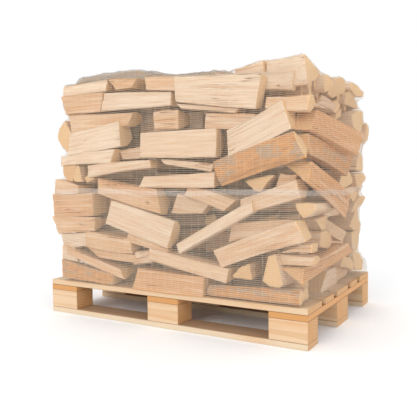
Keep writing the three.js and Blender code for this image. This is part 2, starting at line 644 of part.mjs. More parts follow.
// How far out the net stands at each of its grid places. It starts loose, clear of everything near
// each place, is drawn in until the logs stop it, and is let out again where a log still pokes through.
// A place is drawn in NET_STEP mm at most in one sweep. A log point stops it when the place carries more
// than NET_SHARE of the net over that point.
function settleNet(rows, columns) {
  const across = columns.length;
  const reach = [...rows, null].map(() => new Float64Array(across));
  const touches = [];
  for (const p of loadPoints()) {
    const at = netPlace(p);
    const outward = at && p.clone().sub(at.base).normalize();
    if (at) {
      const i = Math.min(Math.floor(at.row), rows.length - 1);
      const j = Math.floor(at.column);
      const fi = at.row - i;
      const fj = at.column - j;
      // The three corners of the net's triangle that the point lies behind, and its share of each
      const third = fi <= fj ? [i, (j + 1) % across] : [i + 1, j % across];
      touches.push({
        point: p,
        outward,
        far: at.far + NET_CLEARANCE,
        cells: [[i, j % across], third, [i + 1, (j + 1) % across]],
        weights: [1 - Math.max(fi, fj), Math.abs(fi - fj), Math.min(fi, fj)],
      });
    }
  }
  // Over the top, the columns of one corner fall on one place and take one height
  const levelTop = () => {
    for (let i = TOP_ROW; i <= rows.length; i += 1) {
      for (let side = 0; side < 4; side += 1) {
        const first = NET_STARTS[side] + NET_CELLS[side];
        const shared = [];
        for (let k = 0; k <= NET_CORNER_CELLS; k += 1) {
          shared.push((first + k) % across);
        }
        const level = i === rows.length ? columns.map((column, k) => k) : shared;
        const highest = Math.max(...level.map((k) => reach[i][k]));
        level.forEach((k) => {
          reach[i][k] = highest;
        });
      }
    }
  };
  const height = ({ cells, weights }) => {
    return cells.reduce((sum, [i, j], k) => sum + reach[i][j] * weights[k], 0);
  };
  for (const { far, cells } of touches) {
    cells.forEach(([i, j]) => {
      reach[i][j] = Math.max(reach[i][j], far);
    });
  }
  levelTop();
  for (let sweep = 0; sweep < NET_SWEEPS; sweep += 1) {
    const room = reach.map((line) => line.map(() => NET_STEP));
    for (const touch of touches) {
      const spare = Math.max(0, height(touch) - touch.far);
      touch.cells.forEach(([i, j], k) => {
        if (touch.weights[k] > NET_SHARE) {
          room[i][j] = Math.min(room[i][j], spare);
        }
      });
    }
    reach.forEach((line, i) => {
      line.forEach((far, j) => {
        line[j] = Math.max(0, far - room[i][j]);
      });
    });
    levelTop();
  }
  // The net is flat between its places, so what counts now is how far out its flat triangle really is
  const corners = [new THREE.Vector3(), new THREE.Vector3(), new THREE.Vector3()];
  const flat = new THREE.Plane();
  const shortage = (touch) => {
    touch.cells.forEach(([i, j], k) => netPoint(rows, columns, i, j, reach[i][j], corners[k]));
    flat.setFromCoplanarPoints(corners[0], corners[1], corners[2]);
    const facing = flat.normal.dot(touch.outward);
    const over = flat.distanceToPoint(touch.point) / facing;
    return Math.abs(facing) < NET_GRAZING ? Infinity : NET_CLEARANCE + over;
  };
  const letOut = () => {
    for (let sweep = 0, worst = Infinity; sweep < NET_SWEEPS && worst > NET_SLACK; sweep += 1) {
      worst = 0;
      for (const touch of touches) {
        const found = shortage(touch);
        const short = found === Infinity ? touch.far - height(touch) : found;
        if (short > 0) {
          worst = Math.max(worst, short);
          const share = touch.weights.reduce((sum, w) => sum + w * w, 0);
          touch.cells.forEach(([i, j], k) => {
            reach[i][j] += Math.min(short, NET_STEP) * (touch.weights[k] / share);
          });
        }
      }
      levelTop();
    }
  };
  letOut();
  // The tension pulls each place of the sides and the edge towards the middle of its neighbours: out where
  // it has sunk into a hollow, and in, as far as the logs allow, where it stands out
  const under = reach.map((line) => columns.map(() => []));
  for (const touch of touches) {
    touch.cells.forEach(([i, j]) => under[i][j].push(touch));
  }
  const base = new THREE.Vector3();
  const outwards = new THREE.Vector3();
  const spot = new THREE.Vector3();
  const middle = new THREE.Vector3();
  const pulled = (i, j) => {
    netPoint(rows, columns, i, j, 0, base);
    netPoint(rows, columns, i, j, 1, outwards).sub(base);
    middle.set(0, 0, 0);
    const [right, left] = [(j + 1) % across, (j + across - 1) % across];
    const beside = [[i, right], [i, left], [i + 1, j], [Math.max(0, i - 1), j]];
    for (const [r, c] of beside) {
      middle.add(netPoint(rows, columns, r, c, reach[r][c], spot));
    }
    return middle.divideScalar(beside.length).sub(base).dot(outwards);
  };
  for (let sweep = 0; sweep < NET_SWEEPS; sweep += 1) {
    for (let i = 0; i < TOP_ROW; i += 1) {
      for (let j = 0; j < across; j += 1) {
        const before = reach[i][j];
        let step = Math.max(-NET_STEP, Math.min(NET_STEP, before - pulled(i, j)));
        reach[i][j] = before - step;
        while (step > NET_SLACK && under[i][j].some((touch) => shortage(touch) > NET_SLACK)) {
          step /= 2;
          reach[i][j] = before - step;
        }
        if (step > 0 && step <= NET_SLACK) {
          reach[i][j] = before;
        }
      }
    }
  }
  letOut();
  return reach;
}

function netSurface(rows, columns, reach, extra) {
  const points = [];
  rows.forEach((row, i) => {
    columns.forEach((column, j) => {
      points.push(netPoint(rows, columns, i, j, reach[i][j] + extra, new THREE.Vector3()).toArray());
    });
  });
  points.push([...NET_CENTRE, NET_INNER.top + reach[rows.length][0] + extra]);
  return points;
}

function buildNet() {
  const columns = netColumns();
  const rows = netRows();
  const reach = settleNet(rows, columns);
  const inner = netSurface(rows, columns, reach, 0);
  const outer = netSurface(rows, columns, reach, NET_THICK);
  const across = columns.length;
  const count = inner.length;
  const index = [];
  const quad = (a, b, c, d) => index.push(a, b, c, a, c, d);
  const quadTurned = (a, b, c, d) => index.push(c, b, a, d, c, a);
  for (let i = 0; i < rows.length; i += 1) {
    for (let j = 0; j < across; j += 1) {
      const a = i * across + j;
      const b = i * across + ((j + 1) % across);
      if (i + 1 < rows.length) {
        const c = b + across;
        const d = a + across;
        quad(count + a, count + b, count + c, count + d);
        quadTurned(a, b, c, d);
      } else {
        index.push(count + a, count + b, 2 * count - 1);
        index.push(count - 1, b, a);
      }
      if (i === 0) {
        quad(a, b, count + b, count + a);
      }
    }
  }
  const positions = new Float32Array([...inner, ...outer].flat());
  const geometry = new THREE.BufferGeometry();
  geometry.setAttribute("position", new THREE.BufferAttribute(positions, 3));
  geometry.setIndex(index);
  addPiece("net_wrap", toGeometry(toSolid(geometry)), NET_COLOUR, 0.7);
}

buildPallet();
buildShownLogs();
buildStack();
buildNet();

export default group;
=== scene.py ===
# %% [markdown]
# # A pallet of split firewood under a fine net
#
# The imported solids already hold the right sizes, so this script only dresses them. It keeps the twenty
# pieces of the pallet and gives them a sawn pine finish. It swaps each faceted log for a finer mesh of the
# same form, and it swaps the closed shell of the net for real threads.
#
# Everything is in metres, in the frame of the solids: X along the pallet, the front of the load facing -Y,
# Z up, and the ground at zero.

import math

import bpy
import numpy as np
from mathutils import Matrix, Vector
from mathutils.bvhtree import BVHTree


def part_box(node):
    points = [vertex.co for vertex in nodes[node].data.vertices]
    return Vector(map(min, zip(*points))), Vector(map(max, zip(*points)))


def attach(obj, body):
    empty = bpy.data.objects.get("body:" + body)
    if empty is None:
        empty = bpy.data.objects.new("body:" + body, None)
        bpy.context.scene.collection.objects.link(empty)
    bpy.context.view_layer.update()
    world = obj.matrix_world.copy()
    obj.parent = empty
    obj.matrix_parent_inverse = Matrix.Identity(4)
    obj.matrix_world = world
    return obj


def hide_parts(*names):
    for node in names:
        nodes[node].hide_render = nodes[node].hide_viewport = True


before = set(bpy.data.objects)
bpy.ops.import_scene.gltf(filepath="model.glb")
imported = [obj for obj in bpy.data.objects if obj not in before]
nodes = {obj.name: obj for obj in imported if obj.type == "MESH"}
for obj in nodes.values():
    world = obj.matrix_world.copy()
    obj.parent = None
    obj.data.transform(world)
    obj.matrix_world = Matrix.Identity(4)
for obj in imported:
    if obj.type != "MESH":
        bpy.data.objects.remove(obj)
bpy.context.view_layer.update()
print("solids loaded:", len(nodes))

# %% [markdown]
# ## The camera
#
# A camera could be placed by eye, but the corners of the pallet give its place far better, because the
# pallet has a known size. The values below were fitted to those corners. The camera stands to the right of
# the load, a little over half its height, and looks slightly down.

# %% Camera
CAMERA_PLACE = (1.2300, -2.1254, 0.6034)
CAMERA_AZIMUTH = math.radians(30.432)
CAMERA_DOWN = math.radians(3.602)
CAMERA_ROLL = math.radians(-0.732)
CAMERA_LENS = 46.93
SENSOR = 36.0


def new_object(name, data):
    """An object that holds the data, put in the scene."""
    made = bpy.data.objects.new(name, data)
    bpy.context.scene.collection.objects.link(made)
    return made


def camera_axes(azimuth, down, roll):
    """Right, up and backward directions of a camera that looks along +Y at azimuth zero."""
    level = math.cos(down)
    ahead = Vector((-math.sin(azimuth) * level, math.cos(azimuth) * level, -math.sin(down)))
    right = Vector((math.cos(azimuth), math.sin(azimuth), 0))
    up = right.cross(ahead)
    turned_right = right * math.cos(roll) + up * math.sin(roll)
    turned_up = up * math.cos(roll) - right * math.sin(roll)
    return turned_right, turned_up, -ahead


camera_data = bpy.data.cameras.new("camera")
camera_data.lens = CAMERA_LENS
camera_data.sensor_width = SENSOR
camera = new_object("camera", camera_data)
axes = camera_axes(CAMERA_AZIMUTH, CAMERA_DOWN, CAMERA_ROLL)
camera.matrix_world = Matrix.Translation(CAMERA_PLACE) @ Matrix(axes).transposed().to_4x4()
bpy.context.scene.camera = camera
print("camera at", tuple(round(x, 3) for x in camera.location))

# %% [markdown]
# ## Light and floor
#
# The picture is a studio one: white all round, with a soft shadow under the pallet. A white world gives the
# even light. A wide, soft sun from the front makes the faces that look that way brighter than the sawn ends
# that look right, and it is low enough to reach under the deck. A weaker one from the right keeps those ends
# from going dull. A lamp close by would leave the far floor grey, and a sharp one would draw hard shadows.
# The floor itself is a little blue, which only shows where it lies in shadow.

# %% World, lamps and floor
WORLD_LIGHT = 1.0
KEY_STRENGTH = 0.95
KEY_FROM = Vector((-0.08, -0.95, 0.50))
SIDE_STRENGTH = 0.6
SIDE_FROM = Vector((0.88, -0.45, 0.28))
SUN_SOFTNESS = math.radians(24)
FLOOR_HALF = 30
FLOOR_DROP = 0.0005
FLOOR_TINT = (0.97, 0.985, 1.0, 1)
FLOOR_ROUGHNESS = 0.9


def soft_sun(name, strength, direction):
    """A wide soft light that comes from the given direction."""
    light = bpy.data.lights.new(name, "SUN")
    light.energy = strength
    light.angle = SUN_SOFTNESS
    lamp = new_object(name, light)
    lamp.rotation_mode = "QUATERNION"
    lamp.rotation_quaternion = direction.to_track_quat("Z", "Y")


def mesh_object(name, points, faces, edges=()):
    """An object with a new mesh of the given points, faces and loose edges."""
    mesh = bpy.data.meshes.new(name)
    mesh.from_pydata(points, edges, faces)
    return new_object(name, mesh)


bpy.context.scene.view_settings.view_transform = "Standard"
world = bpy.data.worlds.new("studio")
world.use_nodes = True
background = world.node_tree.nodes["Background"]
background.inputs["Color"].default_value = (1, 1, 1, 1)
background.inputs["Strength"].default_value = WORLD_LIGHT
bpy.context.scene.world = world
soft_sun("key", KEY_STRENGTH, KEY_FROM)
soft_sun("side", SIDE_STRENGTH, SIDE_FROM)

floor_corners = [(x * FLOOR_HALF, y * FLOOR_HALF, 0) for x, y in ((-1, -1), (1, -1), (1, 1), (-1, 1))]
floor = mesh_object("floor", floor_corners, [(0, 1, 2, 3)])
floor.location.z = -FLOOR_DROP
floor_material = bpy.data.materials.new("floor_white")
floor_material.use_nodes = True
floor_shader = floor_material.node_tree.nodes["Principled BSDF"]
floor_shader.inputs["Base Color"].default_value = FLOOR_TINT
floor_shader.inputs["Roughness"].default_value = FLOOR_ROUGHNESS
floor.data.materials.append(floor_material)
print("stage ready")

# %% [markdown]
# ## Building node trees in few words
#
# A finish is a small graph of nodes. Making each node by hand takes three lines, so this helper makes one,
# sets its plain values and joins its inputs in a single call. Every finish below is written with it. Colours
# are written as a picture shows them and turned into the linear values that shaders use.

# %% Helper for shader nodes
def linear(r, g, b):
    """A colour given as 0 to 255, as a picture shows it, in the linear values that shaders use."""
    shares = [c / 255 for c in (r, g, b)]
    return tuple(s / 12.92 if s <= 0.04045 else ((s + 0.055) / 1.055) ** 2.4 for s in shares)


class Finish:
    """A material's node tree. add() makes a node and takes values or other sockets for its inputs."""

    def __init__(self, name):
        self.material = bpy.data.materials.new(name)
        self.material.use_nodes = True
        self.tree = self.material.node_tree
        self.shader = self.tree.nodes["Principled BSDF"]

    def add(self, kind, inputs=None, **settings):
        node = self.tree.nodes.new(kind)
        for key, value in settings.items():
            setattr(node, key, value)
        for key, value in (inputs or {}).items():
            self.put(node.inputs[key], value)
        return node

    def put(self, socket, value):
        if isinstance(value, bpy.types.NodeSocket):
            self.tree.links.new(value, socket)
        elif socket.type == "RGBA":
            socket.default_value = (*value, 1.0)
        else:
            socket.default_value = value

    def place(self):
        """Where each point is, in the frame of the solids."""
        return self.add("ShaderNodeTexCoord").outputs["Object"]

    def split(self, vector):
        return self.add("ShaderNodeSeparateXYZ", {0: vector}).outputs

    def math(self, operation, a, b=0.0, clamp=False):
        return self.add("ShaderNodeMath", {0: a, 1: b}, operation=operation, use_clamp=clamp).outputs[0]

    def plus(self, a, b):
        return self.math("ADD", a, b)

    def minus(self, a, b):
        return self.math("SUBTRACT", a, b)

    def times(self, a, b):
        return self.math("MULTIPLY", a, b)

    def noise(self, vector, scale, detail=3.0, roughness=0.55, distortion=0.0):
        given = {"Vector": vector, "Scale": scale, "Detail": detail, "Roughness": roughness}
        return self.add("ShaderNodeTexNoise", {**given, "Distortion": distortion}).outputs["Fac"]

    def stretch(self, vector, scale, shift=(0, 0, 0)):
        return self.add("ShaderNodeMapping", {"Vector": vector, "Scale": scale, "Location": shift}).outputs[0]

    def grain(self, vector, bumps, *detail, shift=(0, 0, 0)):
        """Noise with its own number of bumps per metre in each direction."""
        return self.noise(self.stretch(vector, bumps, shift), 1.0, *detail)

    def ramp(self, value, low, high, smooth=True):
        """0 where the value is `low` and 1 where it is `high`."""
        node = self.add("ShaderNodeMapRange", {"Value": value, "From Min": low, "From Max": high})
        node.interpolation_type = "SMOOTHSTEP" if smooth else "LINEAR"
        return node.outputs["Result"]

    def mix(self, factor, a, b):
        node = self.add("ShaderNodeMix", data_type="RGBA", blend_type="MIX")
        self.put(node.inputs["Factor"], factor)
        self.put(node.inputs[6], a)
        self.put(node.inputs[7], b)
        return node.outputs[2]

    def tint(self, amount, strength, color, tinted):
        """Mixes a colour in where the amount is 1, at the given strength."""
        return self.mix(self.times(amount, strength), color, tinted)

    def bump(self, height, strength, distance):
        return self.add("ShaderNodeBump", {"Height": height, "Strength": strength,
                                           "Distance": distance}).outputs["Normal"]

    def finish(self, color, roughness, normal=None):
        self.put(self.shader.inputs["Base Color"], color)
        self.put(self.shader.inputs["Roughness"], roughness)
        if normal is not None:
            self.put(self.shader.inputs["Normal"], normal)
        return self.material

# %% [markdown]
# ## Sawn pine for the pallet
#
# A pine board is cut from a round trunk, so its grain is the trunk's growth rings seen on a flat cut. The
# sound way to draw it is in three dimensions: measure how far each point is from the trunk's middle, and
# turn that distance into rings. Long faces then show long lines, and end faces show arcs, with no seam
# between them. Each board has its own middle, so no two look alike. Blocks have theirs inside, which is why
# their ends show whole rings. End grain drinks the light, so the last millimetre of each piece is darker and
# warmer. Boards and blocks are nailed flat on each other, and the finish darkens a thin line at the height
# of each joint.

# %% Rings and knots
KNOT_CHANCE_STEP = 0.04


def growth_rings(f, a, b, wander, ring):
    """0 to 1 through each growth ring, from the distance to the trunk's middle."""
    radius = f.math("SQRT", f.plus(f.times(a, a), f.times(b, b)))
    return f.math("FRACT", f.math("DIVIDE", f.plus(radius, wander), ring))


def knot_mask(f, place, bumps, wide, core, without):
    """1 inside a knot and 0 outside. `without` is the share of places that have no knot."""
    spots = f.add("ShaderNodeTexVoronoi", {"Vector": f.stretch(place, bumps), "Scale": 1.0})
    chance = f.add("ShaderNodeSeparateColor", {0: spots.outputs["Color"]}).outputs["Red"]
    chosen = f.ramp(chance, without, without + KNOT_CHANCE_STEP)
    return f.times(f.ramp(spots.outputs["Distance"], wide, core), chosen)

# %% Pine finish
PINE_EARLY = linear(214, 197, 170)
PINE_LATE = linear(190, 156, 118)
PINE_WARM = linear(206, 142, 74)
PINE_END = linear(202, 146, 82)
PINE_KNOT = linear(142, 92, 50)
PALLET_JOINTS = (0.022, 0.100, 0.122)
JOINT_SHADE, JOINT_CORE = 0.0028, 0.0005
END_SKIN = 0.0012
BOARD_RING, BLOCK_RING = 0.0042, 0.011
RING_WANDER = 0.022
PINE_RELIEF = 0.0008
# Bumps per metre along the trunk and twice across it.
PINE_WANDER = (1.2, 9, 9)
PINE_FIBRE = (6, 260, 260)
PINE_SAW = (220, 7, 7)
PINE_CLOUD = (2.2, 14, 14)
PINE_KNOTS = (5.2, 9, 9)


def pine(name, box, middle, along="X", warm=0.0, ring=BOARD_RING):
    """Sawn pine whose trunk ran along X or Y through `middle`, with rings `ring` metres apart."""
    f = Finish(name)
    place = f.place()
    axis = 0 if along == "X" else 1
    centred = f.add("ShaderNodeVectorMath", {0: place, 1: middle}, operation="SUBTRACT").outputs[0]
    turn = (0, 0, -axis * math.radians(90))
    local = f.add("ShaderNodeMapping", {"Vector": centred, "Rotation": turn}).outputs[0]
    wander = f.times(f.grain(local, PINE_WANDER, 2.0), RING_WANDER)
    _, y, z = f.split(local)
    late = f.ramp(growth_rings(f, y, z, wander, ring), 0.35, 0.95)
    fibre = f.grain(local, PINE_FIBRE, 3.0, 0.6)
    saw = f.grain(local, PINE_SAW, 2.0)
    cloud = f.grain(local, PINE_CLOUD, 2.0)
    knot = knot_mask(f, local, PINE_KNOTS, 0.115, 0.06, 0.72)

    half = (box[1] - box[0])[axis] / 2
    from_middle = f.math("ABSOLUTE", f.minus(f.split(place)[axis], (box[0] + box[1])[axis] / 2))
    cut = f.ramp(from_middle, half - END_SKIN, half - END_SKIN / 3)

    color = f.tint(late, 0.5, PINE_EARLY, PINE_LATE)
    color = f.tint(f.ramp(cloud, 0.42, 0.72), 0.35, color, PINE_WARM)
    color = f.mix(warm, color, PINE_WARM)
    color = f.tint(f.ramp(fibre, 0.5, 0.8), 0.22, color, PINE_LATE)
    color = f.tint(knot, 0.75, color, PINE_KNOT)
    color = f.tint(cut, 0.62, color, PINE_END)
    color = f.tint(f.times(cut, late), 0.4, color, PINE_KNOT)
    # A thin darker line at the height of each joint between boards and blocks.
    for joint_height in PALLET_JOINTS:
        off = f.math("ABSOLUTE", f.minus(f.split(place)["Z"], joint_height))
        color = f.tint(f.ramp(off, JOINT_SHADE, JOINT_CORE), 0.55, color, PINE_KNOT)
    rough = f.plus(f.times(f.ramp(fibre, 0.2, 0.9, smooth=False), 0.2), 0.6)
    normal = f.bump(f.plus(fibre, f.times(saw, 0.5)), 0.28, PINE_RELIEF)
    return f.finish(color, rough, normal)

# %% Pine on the pallet
DECK_WARM, STRINGER_WARM, BLOCK_WARM = 0.22, 0.8, 0.3


def wear(node, middle, **choices):
    """Gives one of the solids that stay in view a pine finish of its own."""
    slots = nodes[node].data.materials
    slots.clear()
    slots.append(pine(f"pine_{node}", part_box(node), middle, **choices))


# The middle of the trunk lies below each board, and a little elsewhere each time. In a block it lies inside.
for i in range(5):
    low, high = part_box(f"deck_board_{i + 1}")
    across = (low.y + high.y) / 2 + 0.03 * (i - 2)
    wear(f"deck_board_{i + 1}", (0.31 * i, across, 0.073 - 0.02 * i), warm=DECK_WARM)
for i in range(3):
    low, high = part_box(f"stringer_{i + 1}")
    wear(f"stringer_{i + 1}", ((low.x + high.x) / 2 + 0.02, 0.2 * i, 0.04), along="Y", warm=STRINGER_WARM)
    for j in range(3):
        low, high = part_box(f"block_{i + 1}_{j + 1}")
        centre = (low + high) / 2
        middle = (0.17 * i, centre.y + 0.012 * (i - 1), centre.z + 0.008 * (j - 1))
        wear(f"block_{i + 1}_{j + 1}", middle, warm=BLOCK_WARM, ring=BLOCK_RING)
    low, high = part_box(f"bottom_board_{i + 1}")
    wear(f"bottom_board_{i + 1}", (0.4 * i, (low.y + high.y) / 2 - 0.02, -0.05 - 0.02 * i))
print("pine finishes:", len([m for m in bpy.data.materials if m.name.startswith("pine")]))

# %% [markdown]
# ## Nails
#
# Three or two nails hold each deck board to each stringer. Their heads all have one shape, so one head is
# made once and put on every point of a small cloud of points. That is what Geometry Nodes do best: the
# points say where, and the tree says what. The heads sit almost flush, as driven nails do.

# %% Helpers for Geometry Nodes
def tree_with(name, inputs, kinds):
    """A Geometry Nodes tree with a geometry in and out, the named inputs and one node of each kind."""
    tree = bpy.data.node_groups.new(name, "GeometryNodeTree")
    tree.interface.new_socket("Geometry", in_out="INPUT", socket_type="NodeSocketGeometry")
    for label, kind in inputs.items():
        tree.interface.new_socket(label, in_out="INPUT", socket_type="NodeSocket" + kind)
    tree.interface.new_socket("Geometry", in_out="OUTPUT", socket_type="NodeSocketGeometry")
    made = [tree.nodes.new(kind) for kind in ("NodeGroupInput", "NodeGroupOutput")]
    return tree, *made, *[tree.nodes.new("GeometryNode" + kind) for kind in kinds]


def join_sockets(tree, links):
    """Joins nodes: each link is the node it comes from, its output, the node it goes to and its input."""
    for source, output, target, entry in links:
        tree.links.new(source.outputs[output], target.inputs[entry])


def run_tree(base, tree, values, name):
    """Runs a tree on an object and gives its result as a plain mesh piece. The base object goes."""
    modifier = base.modifiers.new(name, "NODES")
    modifier.node_group = tree
    for label, value in values.items():
        modifier[tree.interface.items_tree[label].identifier] = value
    evaluated = base.evaluated_get(bpy.context.evaluated_depsgraph_get())
    mesh = bpy.data.meshes.new_from_object(evaluated)
    mesh.name = name
    piece = new_object(name, mesh)
    base.modifiers.remove(modifier)
    bpy.data.objects.remove(base)
    return piece

# %% Nails by Geometry Nodes
NAIL_HEAD = 0.0042
NAIL_PROUD = 0.0006
NAIL_SIDES = 14
NAIL_ROWS = {"wide": (0.2, 0.5, 0.8), "narrow": (0.25, 0.75)}
NAIL_ACROSS = (0.68, 0.3)
WIDE_BOARD = 0.12
DECK_TOP = 0.144

nail_points = []
for i in range(5):
    low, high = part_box(f"deck_board_{i + 1}")
    width = high.y - low.y
    for j in range(3):
        left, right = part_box(f"stringer_{j + 1}")
        for k, share in enumerate(NAIL_ROWS["wide" if width > WIDE_BOARD else "narrow"]):
            across = NAIL_ACROSS[(k + j + i) % 2]
            nail_points.append((left.x + (right.x - left.x) * across, low.y + width * share, DECK_TOP))

nail_steel = Finish("nail_steel")
grime = nail_steel.noise(nail_steel.place(), 900, 2.0)
nail_steel.put(nail_steel.shader.inputs["Metallic"], 0.8)
nail_steel.finish(nail_steel.mix(grime, linear(120, 112, 104), linear(84, 76, 70)), 0.45)

nail_tree, given, result, head, on_points, real, paint = tree_with(
    "nail_heads", {"Radius": "Float", "Height": "Float", "Metal": "Material"},
    ["MeshCylinder", "InstanceOnPoints", "RealizeInstances", "SetMaterial"])
head.inputs["Vertices"].default_value = NAIL_SIDES
join_sockets(nail_tree, [
    (given, "Geometry", on_points, "Points"),
    (given, "Radius", head, "Radius"),
    (given, "Height", head, "Depth"),
    (head, "Mesh", on_points, "Instance"),
    (on_points, "Instances", real, "Geometry"),
    (real, "Geometry", paint, "Geometry"),
    (given, "Metal", paint, "Material"),
    (paint, "Geometry", result, "Geometry"),
])
nail_sizes = {"Radius": NAIL_HEAD, "Height": 2 * NAIL_PROUD, "Metal": nail_steel.material}
nails = run_tree(mesh_object("nail_places", nail_points, []), nail_tree, nail_sizes, "deck_nails")
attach(nails, "root")
print("nails:", len(nail_points))

# %% [markdown]
# ## Where the logs lie
#
# Each log that shows in the picture was placed by its outline there, and the lists below repeat the places
# of the solids, in millimetres. A log that shows a long face is written as the name of its cross-section,
# its four corners on that side of the load, its depth, how proud it stands and how far its right end
# stands out. A log that shows its sawn end is written as the outline of the end.

# %% Sides and cross-sections
REACH = {"front": 400, "right": 560, "back": 398, "left": 540, "top": 985}
SIDES = {
    "front": ((1, 0, 0), (0, 0, 1), (0, -1, 0)),
    "right": ((0, 1, 0), (0, 0, 1), (1, 0, 0)),
    "back": ((-1, 0, 0), (0, 0, 1), (0, 1, 0)),
    "left": ((0, -1, 0), (0, 0, 1), (-1, 0, 0)),
    "top": ((1, 0, 0), (0, 1, 0), (0, 0, 1)),
}
SECTIONS = {
    "slab": [(0, 0), (1, 0), (0.95, 1), (0.07, 0.94)],
    "wedge": [(0, 0), (1, 0), (0.66, 0.97), (0.52, 1)],
    "low": [(0, 0), (1, 0), (0.42, 1), (0.28, 0.96)],
    "five": [(0, 0), (1, 0), (1.04, 0.5), (0.5, 1), (-0.03, 0.5)],
    "dee": [(0, 0), (1, 0), (0.97, 0.45), (0.72, 0.86), (0.32, 0.92), (0.03, 0.48)],
    "corner": [(0, 0), (1, 0), (0.97, 1), (0.8, 0.95)],
    "round": [(0, 0), (1, 0), (1, 1), (0.62, 0.93), (0.28, 0.72), (0.07, 0.38)],
    "bark": [(0, 0.2), (0.22, 0.05), (0.5, 0), (0.78, 0.05), (1, 0.18), (0.56, 1)],
}
LOG_LENGTH = 330
COURSE_HEIGHT = 76
JOINT = 5


def place(side, s, t, proud):
    """A place on a side of the load, in metres: s runs right, t runs up, proud is how far out."""
    along, up, out = SIDES[side]
    far = REACH[side] + proud
    return np.array([(along[k] * s + up[k] * t + out[k] * far) / 1000 for k in range(3)])


def side_on(side, section, corners, depth, proud=0, turn=0):
    return {"side": side, "section": section, "corners": corners,
            "depth": depth, "proud": proud, "turn": turn}


def end_on(side, outline, proud=0, length=LOG_LENGTH):
    return {"side": side, "outline": outline, "proud": proud, "length": length}


def log_ends(log):
    """The two end sections of a log, as matching rows of points."""
    if "outline" in log:
        near = [place(log["side"], s, t, log["proud"]) for s, t in log["outline"]]
        far = [place(log["side"], s, t, log["proud"] - log["length"]) for s, t in log["outline"]]
        return np.array(near), np.array(far)
    bottom_left, bottom_right, top_right, top_left = (np.array(c, float) for c in log["corners"])
    ends = []
    for bottom, top, proud in ((bottom_left, top_left, log["proud"] - log["turn"] / 2),
                               (bottom_right, top_right, log["proud"] + log["turn"] / 2)):
        row = []
        for u, v in SECTIONS[log["section"]]:
            s, t = bottom + (top - bottom) * u
            row.append(place(log["side"], s, t, proud - log["depth"] * v))
        ends.append(np.array(row))
    return ends[0], ends[1]

# %% Logs that show most on the front
FRONT_LOGS = [
    side_on("front", "low", [(-500, 946), (-266, 947), (-254, 991), (-496, 984)], 62),
    side_on("front", "slab", [(-211, 952), (-132, 952), (-109, 982), (-247, 993)], 80, -4),
    side_on("front", "dee", [(-490, 867), (-296, 866), (-276, 943), (-512, 942)], 86),
    side_on("front", "slab", [(-290, 868), (54, 866), (60, 914), (-267, 936)], 82, 3),
    side_on("front", "slab", [(-58, 935), (73, 918), (76, 973), (-60, 984)], 84),
    side_on("front", "slab", [(80, 878), (414, 829), (432, 948), (79, 969)], 54, 4),
    side_on("front", "five", [(350, 902), (523, 892), (529, 957), (350, 958)], 62, -50),
    side_on("front", "wedge", [(424, 915), (574, 905), (560, 1008), (424, 1000)], 150, -72),
    side_on("front", "slab", [(296, 966), (417, 962), (412, 1002), (304, 981)], 58, -58),
    side_on("front", "five", [(-470, 788), (-165, 806), (-134, 850), (-480, 864)], 90, -12),
    side_on("front", "dee", [(-475, 693), (-190, 723), (-197, 821), (-462, 783)], 86, 2),
    side_on("front", "wedge", [(-28, 779), (80, 777), (80, 850), (-34, 849)], 132, -14),
    side_on("front", "dee", [(-93, 674), (251, 666), (253, 770), (-86, 769)], 72, 4),
    side_on("front", "dee", [(300, 656), (540, 752), (513, 848), (298, 757)], 86),
    side_on("front", "bark", [(273, 559), (594, 655), (549, 742), (236, 651)], 82, 10),
    side_on("front", "five", [(-530, 651), (-250, 655), (-226, 706), (-524, 685)], 86, -2),
    side_on("front", "slab", [(-367, 598), (-40, 634), (-50, 661), (-368, 642)], 80),
    side_on("front", "low", [(-103, 557), (238, 557), (244, 609), (-77, 597)], 82, -4),
    side_on("front", "five", [(-320, 529), (-6, 452), (-25, 547), (-320, 589)], 88, -6),
    side_on("front", "slab", [(-575, 523), (-431, 528), (-431, 557), (-562, 589)], 92, -3),
    side_on("front", "slab", [(-576, 428), (-348, 435), (-351, 529), (-581, 523)], 104),
    side_on("front", "wedge", [(-552, 352), (-345, 373), (-341, 428), (-592, 425)], 92, -2),
    side_on("front", "dee", [(-273, 406), (36, 322), (69, 422), (-239, 501)], 58, 7),
    side_on("front", "five", [(100, 524), (271, 468), (320, 508), (124, 558)], 72, -16),
    side_on("front", "slab", [(88, 304), (399, 470), (394, 511), (80, 336)], 58, 6),
    side_on("front", "five", [(345, 461), (572, 521), (554, 580), (345, 510)], 84, -12),
    side_on("front", "slab", [(272, 261), (594, 377), (562, 441), (240, 325)], 72, 9),
    side_on("front", "round", [(-396, 302), (-150, 288), (-154, 345), (-396, 371)], 82, -2),
    side_on("front", "wedge", [(-500, 266), (-181, 179), (-213, 223), (-510, 299)], 96, 4),
    side_on("front", "dee", [(-539, 158), (-257, 150), (-254, 191), (-540, 238)], 96, -2),
    side_on("front", "slab", [(-142, 147), (190, 146), (194, 222), (-114, 229)], 92, 7),
    side_on("front", "bark", [(206, 146), (566, 150), (569, 202), (207, 191)], 96, 2),
    side_on("front", "slab", [(-54, 270), (289, 208), (300, 256), (-53, 312)], 76, 3),
]

# %% Logs that show most on the right side
RIGHT_LOGS = [
    side_on("right", "slab", [(-368, 750), (-79, 672), (21, 748), (-308, 817)], 70, 78, 76),
    side_on("right", "dee", [(-337, 667), (-77, 592), (18, 664), (-356, 735)], 74, 51, 53),
    side_on("right", "corner", [(-400, 572), (-146, 440), (-61, 519), (-354, 643)], 95, 64, 49),
    side_on("right", "corner", [(-389, 224), (-19, 293), (-82, 333), (-370, 277)], 80, 49, 69),
    side_on("right", "five", [(-140, 146), (64, 146), (42, 218), (-62, 214)], 88, -4),
]

